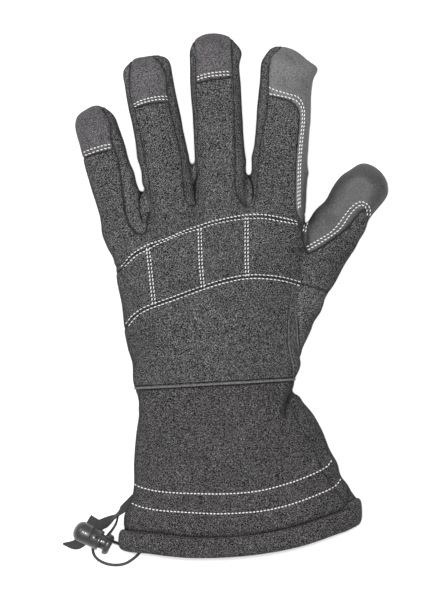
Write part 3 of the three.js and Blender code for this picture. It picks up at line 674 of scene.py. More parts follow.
def applied(piece):
    # the piece's mesh with its modifiers worked in
    depsgraph = bpy.context.evaluated_depsgraph_get()
    mesh = bpy.data.meshes.new_from_object(piece.evaluated_get(depsgraph))
    old = piece.data
    piece.modifiers.clear()
    piece.data = mesh
    bpy.data.meshes.remove(old)
    return piece


def fused(piece, voxel):
    # the piece's skin made anew from voxels
    fuse = piece.modifiers.new("fuse", "REMESH")
    fuse.mode, fuse.voxel_size = "VOXEL", voxel
    return applied(piece)


def fusedSkin():
    # one closed skin through voxels, as quads, in millimetres on the glove
    grids = [bandSection(bodyRows(None), body["sides"], powers["hand"]), thumbGrid()]
    grids += [fingerGrid(finger) for finger in fingers.values()] + [webGrid(web) for web in webs]
    points, faces, count = [], [], 0
    for grid in grids:
        p, quads, triangles = closedLoft(grid)
        points.append(p)
        faces += (quads + count).tolist() + (triangles + count).tolist()
        count += len(p)
    raw = fused(newObject("raw", toRow(np.vstack(points)), faces), body["voxel"])
    co, corners, edges = meshArrays(raw.data)
    bpy.data.objects.remove(raw)
    return fromRow(co), corners.reshape(-1, 4), edges


def neighbourMean(values, edges, count):
    # the mean of each point's neighbours along the edges
    total = np.zeros((count, values.shape[1]))
    for k in range(values.shape[1]):
        total[:, k] = np.bincount(edges[:, 0], values[edges[:, 1], k], count)
        total[:, k] += np.bincount(edges[:, 1], values[edges[:, 0], k], count)
    shared = np.bincount(edges.ravel(), minlength=count)
    return total / np.maximum(shared, 1)[:, None]


def vertexNormals(co, faces):
    # the cross product of each quad's diagonals, summed at its corners
    across = np.cross(co[faces[:, 2]] - co[faces[:, 0]], co[faces[:, 3]] - co[faces[:, 1]])
    total = np.zeros_like(co)
    for k in range(3):
        for corner in range(4):
            total[:, k] += np.bincount(faces[:, corner], across[:, k], len(co))
    return unit(total)


nudges = [  # picture x, y, shift right, shift down, reach: where the outline differs a little
    (150, 95, -1.4, 0.0, 30), (213, 80, -0.8, 0.0, 34), (280, 95, -0.8, 0.0, 34),
    (138, 160, -1.6, 0.0, 12), (315, 68, 6.8, -1.2, 8), (298, 52, 0.5, -1.6, 16),
    (309, 173, 1.6, 0.0, 4), (127, 70, -1.4, 0.0, 8), (306, 215, -0.4, 6.0, 8),
    (165, 59, 2.0, -1.0, 9), (146, 54, 0.0, 2.0, 9), (239, 54, 3.0, 0.0, 8),
    (84, 108, 1.2, 1.6, 8), (88, 175, -0.9, 0.0, 24), (104, 235, -1.8, 0.0, 9),
    (114, 262, 3.2, 0.0, 9), (119, 303, 3.2, 0.0, 20), (130, 358, 1.8, 0.0, 13),
    (134, 384, -2.2, 0.0, 12), (124, 513, -1.8, 0.0, 14), (266, 54, 2.6, 1.0, 8),
    (78, 135, -0.8, 0.0, 18), (241, 160, 1.8, 0.0, 7), (147, 182, -2.2, 0.0, 8),
    (131, 172, 1.2, 0.0, 8), (256, 158, -1.8, 0.0, 7), (111, 256, 1.4, 0.0, 6),
    (316, 322, -2.0, 0.0, 8), (349, 167, 1.6, 3.4, 10), (322, 198, 2.6, 1.8, 13),
    (382, 198, 3.2, 0.0, 16), (363, 232, 4.0, 0.0, 11), (352, 248, 2.4, 0.0, 11),
    (330, 298, -2.4, 0.0, 10), (311, 330, 0.4, -0.6, 9), (299, 365, 6.6, 0.0, 12),
    (299, 373, 2.0, 0.0, 4), (293, 391, -3.2, 0.0, 6), (308, 408, 1.4, 0.0, 12),
    (334, 462, 4.8, -0.6, 13), (346, 484, 2.2, -1.2, 9), (357, 502, 4.2, -0.4, 11),
    (127, 545, -2.0, 3.6, 15), (222, 550, 0.0, -1.0, 44), (350, 522, 0.4, 2.6, 16),
    (315, 545, 0.4, 1.4, 34),
]


def bell(distance, width):
    # e^(-(distance / width)^2)
    return np.exp(-((distance / width) ** 2))


def fromSpot(x, y, xy):
    # distance of each point on plan to a spot of the picture
    return np.hypot(*(xy - onGlove([(x, y)])[0]).T)


def nudged(points):
    # small soft pushes on plan: shift times a bell round each row's spot
    shift = np.zeros((len(points), 2))
    for x, y, right, down, reach in nudges:
        near = bell(fromSpot(x, y, points[:, :2]), pixel * reach)
        shift += near[:, None] * [pixel * right, -pixel * down]
    return points + np.column_stack((shift, np.zeros(len(points))))


def settled(z):
    # the cloth flattens where it rests: z = e^(z - 1) below 1 mm
    return np.where(z < 1, np.exp(np.minimum(z, 1) - 1), z)


skin, skinFaces, skinEdges = fusedSkin()
for _ in range(body["relax"]):
    skin += 0.5 * (neighbourMean(skin, skinEdges, len(skin)) - skin)
skin = nudged(skin)
skin[:, 2] = settled(skin[:, 2])
if np.sum(vertexNormals(skin, skinFaces)[:, 2] * (skin[:, 2] - 15)) < 0:
    skinFaces = skinFaces[:, ::-1]
print("skin fused:", len(skin), "points")


# Sewn lines, as picture positions
seams = {
    "pinkyRight": [(97, 84), (100, 100), (102, 108), (110.4, 122), (111.7, 141), (117.4, 155),
                   (120, 170.5), (123.3, 197), (126.3, 216.5), (131.4, 227.8), (139.6, 234.4),
                   (144.7, 233), (147.2, 226.7), (148.4, 212), (148.8, 190), (145, 160),
                   (138.6, 130), (133.3, 108), (130, 96.5), (129.5, 71), (131.4, 60), (133, 50)],
    "ringRight": [(150, 40), (151.8, 54), (160.8, 63.4), (166.5, 74.8), (168.4, 96.5),
                  (177.3, 134.8), (181.4, 155), (184, 182), (185.6, 197), (189.6, 204.3),
                  (194.2, 206), (197, 200), (197.4, 182), (196, 135), (195, 80), (194.4, 52),
                  (193, 38)],
    "middleRight": [(231, 30), (232, 45.5), (234, 77.4), (235.4, 109), (236, 160),
                    (236.9, 191.4), (241.5, 202), (248.4, 206.4), (253.4, 204), (255.2, 196),
                    (256.8, 173), (258.3, 158), (261.4, 133), (266.7, 105.7), (267.5, 86),
                    (268.3, 66), (271.3, 55.2), (280.5, 46.8), (284, 36)],
    "knuckle": [(96, 291), (112, 277), (123, 266.5), (130, 258.6), (138, 252), (146, 248),
                (156, 243.2), (166, 239.7), (176, 235.3), (186, 231.4), (198, 227.6),
                (212, 223), (232, 218.7), (258, 216.2), (278, 218.6), (297, 223), (306, 226),
                (330, 219)],
    "lower": [(99, 353), (116, 337.5), (126.6, 325.5), (132, 318.3), (138, 313), (144, 309.4),
              (152, 306), (172, 299), (199.4, 289), (223.5, 281.3), (246, 277), (266.6, 277),
              (285.5, 279.6), (301, 284), (323.8, 290.5), (345, 300)],
    "index": [(247, 96), (268.3, 95.8), (276, 96.8), (284, 98.4), (290, 100.6), (295, 103.8),
              (298.4, 108), (299.9, 113), (300.2, 119), (299, 133), (297.3, 152), (296.4, 172),
              (296.2, 190), (296.8, 210), (303, 223)],
    "thumb": [(330, -40), (323, 140), (313.8, 190), (304.8, 216), (303.4, 224), (304, 236),
              (307.3, 253), (321, 247.5), (333, 239.8), (342, 233.1), (350.8, 224.6),
              (357, 217.2), (361.9, 211.4), (365.5, 209), (367.8, 212), (369.5, 222)],
    "heel": [(291.2, 262), (292.8, 287), (289.3, 315.5), (288.8, 332), (289.2, 345),
             (291.6, 358), (293.4, 366), (294, 380), (294, 392)],
    "cuffSide": [(292, 372), (292.2, 402), (296, 416), (303, 428), (311, 441), (317, 454),
                 (323, 467), (332, 484), (343, 498), (348, 506), (352, 560)],
}
seams = {name: onBack(points) for name, points in seams.items()}
beyondSeam = {  # corners that close each line round the side that it parts off
    "knuckle": [(60, 200), (-130, 200), (-130, 4)],
    "lower": [(130, 200), (-130, 200), (-130, -33)],
    "index": [(60, 44), (70, 200), (10, 200)],
    "thumb": [(130, 40), (130, 200)],
    "heel": [(130, -58), (130, 20)],
    "cuffSide": [(-130, -180), (-130, -30)],
}
# between hand and cuff: y + slope (x' - x), and the ends of the line as it is drawn on the skin
wristLine = {"y": -53.35, "slope": 0.056, "x": -9.3, "ends": [(-80, -57.31), (80, -48.35)]}
sideSeam = {"y": (-160, -60, 10, 50, 110, 170), "z": (13.5, 14.5, 16.5, 16.5, 12.5, 11)}
fingerRoots = np.array([(-130, 36), (-74, 43), (-53.5, 53), (-38, 62), (-22.5, 66),
                        (10.5, 66), (30, 60), (45.5, 51), (60, 44)], float)
thumbRoot = np.array([(60, 200), (56, 90), (50, 64), (44.6, 47.5), (43.8, 38), (42.6, 26),
                      (40.6, 10), (38.4, -6), (36.8, -20), (38.4, -31), (46, -38),
                      (130, -44)], float)
caps = {  # edge of each fingertip's cap over the finger, and its corners beyond the tip
    "pinky": [(74, 160.6), (84.2, 157.4), (97, 153), (111.3, 149.4), (124, 147), (112, 80),
              (60, 100)],
    "ring": [(120, 112.8), (133.2, 108.6), (141, 105.8), (150.6, 103.6), (168.6, 101.8),
             (186, 102), (186, 30), (110, 40)],
    "middle": [(182, 87.4), (195.2, 83.2), (205, 81), (215, 79.2), (232.2, 77), (248, 76),
               (248, 20), (182, 20)],
}
gussets = {  # the gusset inside each of three lines, the fingers beside it, its foot in the palm
    "pinkyRight": ("gussetPinkyRing", "pinky", "ring", (-53.5, 49.0)),
    "ringRight": ("gussetRingMiddle", "ring", "middle", (-22.5, 62.0)),
    "middleRight": ("gussetMiddleIndex", "middle", "index", (10.5, 62.0)),
}


def inside(outline, xy):
    # even-odd rule over the outline's edges
    a, b = np.asarray(outline, float), np.roll(outline, -1, axis=0)
    hit = np.zeros(len(xy), bool)
    for (ax, ay), (bx, by) in zip(a, b):
        if ay == by:
            continue
        cut = (xy[:, 1] < ay) != (xy[:, 1] < by)
        hit ^= cut & (xy[:, 0] < ax + (xy[:, 1] - ay) * (bx - ax) / (by - ay))
    return hit


def toLine(line, xy):
    # distance to the nearest of the line's stretches, the nearest point, and how far along it is
    best = np.full(len(xy), np.inf)
    spot, along, far = np.zeros((len(xy), 2)), np.zeros(len(xy)), 0.0
    for a, b in zip(line[:-1], line[1:]):
        d = b - a
        length = np.hypot(*d)
        t = np.clip(((xy - a) @ d) / length**2, 0, 1)
        p = a + t[:, None] * d
        distance = np.hypot(*(xy - p).T)
        nearer = distance < best
        best[nearer], spot[nearer] = distance[nearer], p[nearer]
        along[nearer] = (far + t * length)[nearer]
        far += length
    return best, spot, along


def sideHeight(y):
    # height of the seam between back and palm
    return np.interp(y, sideSeam["y"], sideSeam["z"])


def beyond(line, corners, xy):
    # which points lie on the side of the line that the corners close
    return inside(np.vstack((line, corners)), xy)


def pastSeam(name, xy):
    # the same for a sewn line and its own corners
    return beyond(lineOf[name], beyondSeam[name], xy)


lineOf = {name: smoothPath(line, 6) for name, line in seams.items()}
capLine = {name: smoothPath(onBack(line[:-2]), 6) for name, line in caps.items()}


def palmGusset(name, xy):
    # a gusset's outline under the fingers: straight strips that meet in a round foot
    _, left, right, (fx, fy) = gussets[name]
    sides = []
    for finger, sign in ((fingers[left], 1), (fingers[right], -1)):
        base, tip = np.array(finger["base"]), np.array(finger["tip"])
        along = unit(tip - base)
        out = np.array([along[1], -along[0]]) * sign
        stops = np.array([0.3, 0.6, 0.9, 1.08])
        half = np.interp(stops, (0.28, 0.6, 1), finger["widths"]) / 2 * 0.8
        half[-1] *= 0.2
        sides.append(base + (tip - base) * stops[:, None] + out * half[:, None])
    foot = [(fx - 5, fy + 5), (fx - 3, fy + 1.2), (fx, fy), (fx + 3, fy + 1.2), (fx + 5, fy + 5)]
    return inside(np.vstack((sides[0][::-1], foot, sides[1])), xy)


def panelOf(centre):
    # which piece of cloth each point of the skin belongs to, in the order the seams part it
    xy, z = centre[:, :2], centre[:, 2]
    top = z > sideHeight(xy[:, 1])
    part = np.full(len(xy), "", object)

    def give(name, where):
        part[(part == "") & where] = name

    cuff = xy[:, 1] < wristLine["y"] + wristLine["slope"] * (xy[:, 0] - wristLine["x"])
    give("gauntletBack", cuff & top & pastSeam("cuffSide", xy))
    give("gauntletUnder", cuff)
    give("thumbPatch", top & pastSeam("thumb", xy))
    for line, (name, *_) in gussets.items():
        give(name, top & inside(lineOf[line], xy))
        give(name, ~top & palmGusset(line, xy))
    for finger, line in capLine.items():
        give("cap" + finger.capitalize(), top & beyond(line, onBack(caps[finger][-2:]), xy))
    for name, line in (("indexPatch", "index"), ("fingerBacks", "knuckle"),
                       ("knucklePanel", "lower"), ("heelPanel", "heel")):
        give(name, top & pastSeam(line, xy))
    give("handBack", top)
    give("thumbFront", beyond(thumbRoot, [(130, 200)], xy))
    fronts = beyond(fingerRoots, [(60, 200), (-130, 200)], xy)
    middles = {name: (np.array(f["base"]) + np.array(f["tip"])) / 2 for name, f in fingers.items()}
    axes = {name: unit(np.array(f["tip"]) - np.array(f["base"])) for name, f in fingers.items()}
    off = np.array([
        np.abs((xy - middles[name]) @ np.array([axes[name][1], -axes[name][0]]))
        for name in fingers
    ])
    nearest = off.argmin(0)
    for i, name in enumerate(fingers):
        give("fingerFront" + name.capitalize(), fronts & (nearest == i))
    give("palmPanel", np.ones(len(xy), bool))
    return part


def hemLine(x, up):
    # where the cuff ends inside the hem, on plan: the second of its rows
    leftX, leftY, rightX, rightY, bow = cuffRows[1][:5]
    share = (x - leftX) / (rightX - leftX)
    across = np.clip(2 * share - 1, -1, 1)
    return leftY + (rightY - leftY) * share - bow * (1 - across**2) * np.where(up, 1, 0.75)


centres = skin[skinFaces].mean(1)
panel = panelOf(centres)
inHem = centres[:, 1] < hemLine(centres[:, 0], centres[:, 2] > cuffRows[1][6]) + 1.5
panel[inHem] = "none"
names = sorted(set(panel) - {"none"})
code = np.array([names.index(p) if p != "none" else -1 for p in panel])  # one for each face
print("panels:", {n: int((code == i).sum()) for i, n in enumerate(names)})


def sharedPoints(faces):
    # points on the edges between panels, those edges, and the points where three panels meet
    rim = np.sort(np.vstack([faces[:, [k, (k + 1) % 4]] for k in range(4)]), axis=1)
    order = np.lexsort((rim[:, 1], rim[:, 0]))
    rim, owner = rim[order], np.tile(code, 4)[order]
    same = np.flatnonzero((rim[1:] == rim[:-1]).all(1))
    rim = rim[same][owner[same] != owner[same + 1]]
    meets = np.bincount(rim.ravel(), minlength=len(skin))
    return np.flatnonzero(meets > 0), rim, meets


def slideToSeams(co, faces, shared, rim, meets):
    # shared points slide along the skin until they lie on the sewn line; then the line is eased
    normal = vertexNormals(co, faces)
    p, up = co[shared], normal[shared]
    best, spot = np.full(len(p), np.inf), np.zeros((len(p), 2))
    lines = [*lineOf.values(), *capLine.values(), fingerRoots, thumbRoot]
    lines.append(np.array(wristLine["ends"]))
    for line in lines:
        distance, near, _ = toLine(line, p[:, :2])
        nearer = distance < best
        best[nearer], spot[nearer] = distance[nearer], near[nearer]
    drop = sideHeight(p[:, 1]) - p[:, 2]
    level = np.abs(drop) < np.minimum(best, 3)
    pull = np.column_stack((spot - p[:, :2], np.zeros(len(p))))
    pull[level] = 0
    pull[level, 2] = drop[level]
    size = np.linalg.norm(pull, axis=1, keepdims=True)
    way = pull / np.maximum(size, 1e-9)
    slide = way - up * np.sum(way * up, 1, keepdims=True)
    gain = np.sum(slide * way, 1, keepdims=True)
    reach = body["voxel"] * 1000
    step = np.where(gain > 0.5, np.minimum(size / np.maximum(gain, 0.5), reach), 0)
    co[shared] += slide * step
    free = meets >= 2
    for _ in range(6):
        mean = neighbourMean(co, rim, len(co)) - co
        mean -= normal * np.sum(mean * normal, 1, keepdims=True)
        co[free] += 0.5 * mean[free]


shared, rimEdges, meets = sharedPoints(skinFaces)
slideToSeams(skin, skinFaces, shared, rimEdges, meets)
held = np.zeros(len(skin), bool)
held[shared] = True
for _ in range(3):
    skin[~held] += 0.4 * (neighbourMean(skin, skinEdges, len(skin)) - skin)[~held]
slideToSeams(skin, skinFaces, shared, rimEdges, meets)


def nearBorder(co, edges, start):
    # each point hands its nearest border point to its neighbours, and keeps the nearest it is given
    nearest, best = np.full(len(co), -1), np.full(len(co), 9.0)
    nearest[start], best[start] = start, 0
    giver, taker = np.vstack((edges, edges[:, ::-1])).T
    for _ in range(12):
        offered = nearest[giver]
        distance = np.linalg.norm(co[taker] - co[offered], axis=1)
        better = (offered >= 0) & (distance < best[taker])
        order = np.flatnonzero(better)[np.argsort(-distance[better], kind="stable")]
        best[taker[order]], nearest[taker[order]] = distance[order], offered[order]
    return best


for _ in range(2):  # points more than 0.45 mm off their neighbours go back among them
    mean = neighbourMean(skin, skinEdges, len(skin))
    stray = np.linalg.norm(mean - skin, axis=1) > 0.45
    skin[stray] = mean[stray]
border = nearBorder(skin, skinEdges, shared)
print("seams laid")

# Padding: a coarser copy of the skin is blown up as cloth with its seams held
padding = {
    "voxel": 0.0042, "pressure": 4.0, "frames": 20, "shrink": -0.03,
    "held": 2.6, "rests": 2.0, "mouth": -140,  # held this near a seam, below this z and this y
    "most": 1.9, "spread": (0.45, 0.45, 1.0),  # the most a point moves, and its share each way
    "cell": 5.0, "blend": 8,  # the lattice's cells and the rounds of blending after it
    "blocks": 96, "steps": 20,
}


def blownUp(co, faces):
    # cloth with pressure and no gravity; each point's way is kept below the most it may move
    pad = fused(newObject("pad", co / 1000, faces.tolist()), padding["voxel"])
    rest = meshArrays(pad.data)[0]
    seamed = co[shared].astype(np.float32)
    near = np.concatenate([
        np.sqrt(((block[:, None] - seamed[None]) ** 2).sum(-1).min(1))
        for block in np.array_split((rest * 1000).astype(np.float32), padding["blocks"])
    ])
    hold = np.clip(1.6 - near / padding["held"], 0, 1)
    low, mouth = rest[:, 2] * 1000 < padding["rests"], rest[:, 1] * 1000 < padding["mouth"]
    hold[low | mouth] = 1
    group = pad.vertex_groups.new(name="seams")
    for step in range(1, padding["steps"] + 1):
        level = np.flatnonzero(np.round(hold * padding["steps"]) == step)
        group.add(level.tolist(), step / padding["steps"], "REPLACE")
    blown = pad.modifiers.new("cloth", "CLOTH")
    rules = blown.settings
    rules.quality, rules.mass, rules.bending_stiffness = 6, 0.15, 0.4
    rules.tension_stiffness = rules.compression_stiffness = 12
    rules.shear_stiffness = 4
    rules.shrink_min = padding["shrink"]
    rules.use_pressure, rules.uniform_pressure_force = True, padding["pressure"]
    rules.effector_weights.gravity = 0
    rules.vertex_group_mass = "seams"
    blown.point_cache.frame_start, blown.point_cache.frame_end = 1, padding["frames"]
    for step in range(1, padding["frames"] + 1):
        scene.frame_set(step)
    applied(pad)
    way = (meshArrays(pad.data)[0] - rest) * 1000
    scene.frame_set(1)
    bpy.data.objects.remove(pad)
    size = np.linalg.norm(way, axis=1, keepdims=True)
    print("padding moved up to", float(size.max()), "mm, mean", float(size.mean()))
    return rest * 1000, way * np.minimum(1, padding["most"] / np.maximum(size, 1e-9))


def carried(rest, way, co, edges):
    # the coarse points' ways are spread over a lattice, and each point reads the eight nodes round it
    low = np.minimum(rest.min(0), co.min(0)) - 2 * padding["cell"]
    size = np.ceil((np.maximum(rest.max(0), co.max(0)) - low) / padding["cell"]).astype(int) + 3

    def corners(points):
        place = (points - low) / padding["cell"]
        cell = place.astype(int)
        t = place - cell
        for node in np.ndindex(2, 2, 2):
            share = np.prod(np.where(np.array(node) == 1, t, 1 - t), axis=1)
            yield np.ravel_multi_index((cell + node).T, size), share

    sums = np.zeros((4, size.prod()))
    for node, share in corners(rest):
        for k in range(4):
            sums[k] += np.bincount(node, share * (way[:, k] if k < 3 else 1), size.prod())
    read = np.zeros((4, len(co)))
    for node, share in corners(co):
        read += sums[:, node] * share
    move = (read[:3] / np.maximum(read[3], 1e-9)).T
    for _ in range(padding["blend"]):
        move = neighbourMean(move, edges, len(co))
    return move


crotches = [onGlove(line) for line in (  # the gaps between the fingers
    [(137, 140), (142, 192)], [(190, 130), (195, 174)], [(248, 140), (249, 174)],
    [(312, 195), (304, 222)],
)]
slack = np.min([toLine(line, skin[:, :2])[0] for line in crotches], axis=0)
slack = smoothstep(slack, 1.5, 9.0)  # nothing swells into those gaps

rest, way = blownUp(skin, skinFaces)
lift = carried(rest, way, skin, skinEdges) * slack[:, None]
skin += lift * padding["spread"] * smoothstep(skin[:, 2], 0.5, 4.0)[:, None]
print("padding blown up")

# Relief: grooves along the seams, padding between them, creases and slow waves
hemSeam = onBack([(112, 527), (125, 530.6), (140, 532), (160, 533.6), (185, 536.4), (210, 537.4),
                  (235, 537), (260, 534.3), (290, 528), (320, 519), (338, 512.5), (346, 509),
                  (353, 502)])
relief = {  # millimetres; the puff between channels fades out over the x in "until"
    "edge": {"depth": 0.8, "width": 0.75},
    "gusset": {"depth": 0.6, "from": 0.4, "to": 2.6},
    "hem": {"depth": 1.6, "width": 1.1},
    "channel": {"depth": 0.8, "width": 1.5, "puff": 0.9, "reach": 7.0, "until": (42, 52)},
    "wave": {"height": 0.45, "size": 26.0, "fine": 0.16, "fineSize": 7.0, "seed": 11},
}
creases = [  # picture line, depth, half width, how much its sides stand up, how much shade is painted along it
    {"line": [(141.2, 186), (142.6, 205), (143.2, 222)], "depth": 2.6, "width": 1.0, "lift": 0.0,
     "shade": 0.15},
    {"line": [(195, 168), (195, 185), (195.2, 201)], "depth": 1.8, "width": 1.0, "lift": 0.0,
     "shade": 0.15},
    {"line": [(248.4, 170), (250.2, 185), (251.4, 202)], "depth": 1.8, "width": 1.0, "lift": 0.0,
     "shade": 0.15},
    {"line": [(294, 388), (289, 402), (284, 419)], "depth": 2.4, "width": 2.2, "lift": 0.8,
     "shade": 0.4},
    {"line": [(128, 334), (137, 350), (139, 372)], "depth": 0.9, "width": 3.0, "lift": 0.5,
     "shade": 0.0},
    {"line": [(304, 222), (305, 236), (308, 250)], "depth": 2.2, "width": 1.6, "lift": 0.0,
     "shade": 0.5},
    {"line": [(136, 392), (150, 402), (172, 409)], "depth": 0.7, "width": 3.0, "lift": 0.5,
     "shade": 0.0},
    {"line": [(297, 318), (298.5, 332), (298.7, 346)], "depth": 0.8, "width": 0.9, "lift": 0.4,
     "shade": 0.6},
]
creases = [{**crease, "line": smoothPath(onBack(crease["line"]), 6)} for crease in creases]
verticals = [onBack(line) for line in (  # the double seams across the knuckle panel
    [(147.6, 247), (149.6, 264), (154, 305)], [(199.6, 228), (200.8, 264), (203, 288)],
    [(246.6, 216.5), (246.7, 264), (247.6, 277)],
)]
channels = [smoothPath(line, 4) for line in verticals]
shadowLines = [  # painted shadow lines in folds, beside the ridges and on both sides of the wrist bead: picture line, half width, how dark, how far it takes to fade out at its ends
    ([(140.6, 182), (142.2, 199), (143, 210), (143.3, 224)], 0.5, 1.0, 3.0),
    ([(195.2, 168), (194.8, 185), (195.6, 193), (195.2, 204)], 0.5, 1.0, 3.0),
    ([(248.3, 170), (250.2, 185.5), (250.7, 192.4), (251.5, 203)], 0.5, 1.0, 3.0),
    ([(291, 316), (290.5, 332), (290.9, 345), (293.3, 358), (295.1, 366), (295.6, 382)], 0.4, 0.6, 4.0),
    ([(297.8, 314), (299, 326), (299.6, 336), (300.2, 350)], 0.4, 0.6, 3.0),
    ([(289, 372.4), (296, 373.6), (304, 374)], 0.45, 0.9, 2.0),
    ([(294, 388), (289, 402), (284, 419)], 0.9, 0.5, 6.0),
    ([(348.4, 486), (348.8, 496), (347.6, 508)], 0.6, 0.8, 2.5),
    ([(130, 387), (150, 385.5), (180, 383.6), (210, 382.2), (240, 380.7), (270, 378.7), (300, 377)],
     0.5, 0.9, 4.0),
    ([(300, 381), (270, 382.9), (240, 385.3), (210, 386.4), (180, 387.8), (150, 389.6), (130, 391)],
     0.5, 0.9, 4.0),
]
# the hem seam gets a painted shadow line as well
shadowLines = [(onBack(line), *rest) for line, *rest in shadowLines] + [(hemSeam, 0.5, 0.8, 4.0)]
shadowReach = 1.7  # painted shadow is kept this near a fold's line


def shadowLineMarks(co):
    # painted shadow lines: signed distance to the nearest fold's line over its half width, and how dark
    # the painted shadow is there
    xy, up = co[:, :2], co[:, 2] > sideHeight(co[:, 1])
    shadowMarks, best = np.zeros((len(co), 3)), np.full(len(co), 1e9)
    for line, width, share, fade in shadowLines:
        path = smoothPath(line, 6)
        d, spot, along = toLine(path, xy)
        heading, far = unit(np.diff(path, axis=0)), farAlong(path)
        which = np.clip(np.searchsorted(far, along, side="right") - 1, 0, len(heading) - 1)
        off = xy - spot
        side = np.sign(heading[which, 0] * off[:, 1] - heading[which, 1] * off[:, 0])
        near = d / width < best
        best[near] = (d / width)[near]
        end = np.clip(np.minimum(along, far[-1] - along) / fade, 0, 1) * (d < shadowReach) * up
        shadowMarks[near, :2] = np.column_stack((side * d / width, share * end))[near]
    return shadowMarks


def softNoise(points, size, seed):
    # smooth noise: random values on a lattice, blended with t^2 (3 - 2t) along each axis
    rng = np.random.default_rng(seed)
    lattice = rng.uniform(-1, 1, (32, 32, 32))
    q = points / size + 400
    cell = np.floor(q).astype(int)
    t = smoothstep(q - cell, 0, 1)
    total = 0.0
    for corner in np.ndindex(2, 2, 2):
        weight = np.abs(1 - np.array(corner) - t).prod(1)
        i, j, k = ((cell + corner) % 32).T
        total = total + weight * lattice[i, j, k]
    return total


def onTop(co):
    # from 0 to 1 over the seam between palm and back
    return smoothstep(co[:, 2] - sideHeight(co[:, 1]), -1.5, 1.0)


def shapedRelief(co, edgeDistance, sunk):
    # how far each point moves along its normal: the sum of all grooves, swells and waves
    xy, top = co[:, :2], onTop(co)
    wave = relief["wave"]
    move = wave["height"] * softNoise(co, wave["size"], wave["seed"])
    move += wave["fine"] * softNoise(co, wave["fineSize"], wave["seed"] + 1)
    edge, hemming, channel = relief["edge"], relief["hem"], relief["channel"]
    move -= top * hemming["depth"] * bell(toLine(hemSeam, xy)[0], hemming["width"])
    move -= edge["depth"] * bell(edgeDistance, edge["width"])
    step = relief["gusset"]
    move -= sunk * step["depth"] * smoothstep(edgeDistance, step["from"], step["to"])
    inPanel = pastSeam("lower", xy) & ~pastSeam("knuckle", xy)
    nearest = np.minimum(toLine(lineOf["knuckle"], xy)[0], toLine(lineOf["lower"], xy)[0])
    for line in channels:
        d = toLine(line, xy)[0]
        nearest = np.minimum(nearest, d)
        move -= top * channel["depth"] * bell(d, channel["width"])
    puff = 1 - bell(nearest, channel["reach"])
    leftOfThumb = 1 - smoothstep(xy[:, 0], *channel["until"])
    move += np.where(inPanel, puff, 0) * channel["puff"] * top * leftOfThumb
    for crease in creases:
        d, _, along = toLine(crease["line"], xy)
        length = farAlong(crease["line"])[-1]
        fade = np.clip(np.minimum(along, length - along) / (0.3 * length), 0, 1)
        fade = np.where((along < 0.01) & (d > 1), 0, fade)
        width = crease["width"]
        move -= top * crease["depth"] * fade * bell(d, width)
        move += top * crease["lift"] * fade * bell(d - 2.2 * width, width)
    return move


# painted shade: how dark and how wide at seams, channels and the hem; which sides are steep enough to
# be painted darker; less of that in the gaps
darkness = {"seam": 0.8, "seamWidth": 0.55, "softWidth": 2.5, "channel": (0.7, 0.35),
            "hem": (1.0, 0.4), "steep": (0.4, 0.92), "gaps": 0.4}
softSeams = {"knuckle": 0.5, "lower": 0.5, "cuffSide": 0.3, "index": 0.6, "heel": 0.5,
             "pinkyRight": 0.85, "ringRight": 0.85, "middleRight": 0.85}  # share of a seam's dark
shadowPatches = [  # picture x, y, reach, how dark: soft patches of painted shade on the cloth
    (340, 262, 24, 0.34), (316, 330, 15, 0.55), (304, 352, 10, 0.4), (286, 404, 12, 0.3),
    (132, 345, 34, 0.3), (341, 436, 16, 0.3),
]


def seamShade(co, normals):
    # from 0 to 1, how much shade is painted into the cloth's colour: at seams and channels, along
    # creases, in soft patches and on steep sides
    xy, top = co[:, :2], onTop(co)
    near = darkness["seam"] * bell(border, darkness["seamWidth"])
    for name, share in softSeams.items():
        near *= 1 - (1 - share) * bell(toLine(lineOf[name], xy)[0], darkness["softWidth"])
    lines = [(channel, *darkness["channel"]) for channel in channels] + [(hemSeam, *darkness["hem"])]
    lines += [(crease["line"], crease["width"], crease["shade"]) for crease in creases]
    for line, width, share in lines:
        near = np.maximum(near, top * share * bell(toLine(line, xy)[0], width))
    for x, y, reach, share in shadowPatches:
        near = np.maximum(near, share * bell(fromSpot(x, y, xy), pixel * reach))
    # painted shade on sides that turn away from the light above, less of it in the gaps between the
    # fingers
    steep = smoothstep(1 - np.abs(normals[:, 2]), *darkness["steep"])
    return 1 - (1 - near) * (1 - steep * (darkness["gaps"] + (1 - darkness["gaps"]) * slack))


normals = vertexNormals(skin, skinFaces)
shade = seamShade(skin, normals)
shadowMarks = shadowLineMarks(skin)
inGusset = np.array([n.startswith("gusset") for n in names] + [False])
sunk = np.zeros(len(skin))
sunk[skinFaces[inGusset[code]].ravel()] = 1
move = shapedRelief(skin, border, sunk)
flat = smoothstep(skin[:, 2], 0.6, 3.0) * np.where(move > 0, slack, 1)
skin += normals * (move * flat)[:, None]
skin[:, 2] = np.maximum(skin[:, 2], 0.15)
print("relief pressed in")


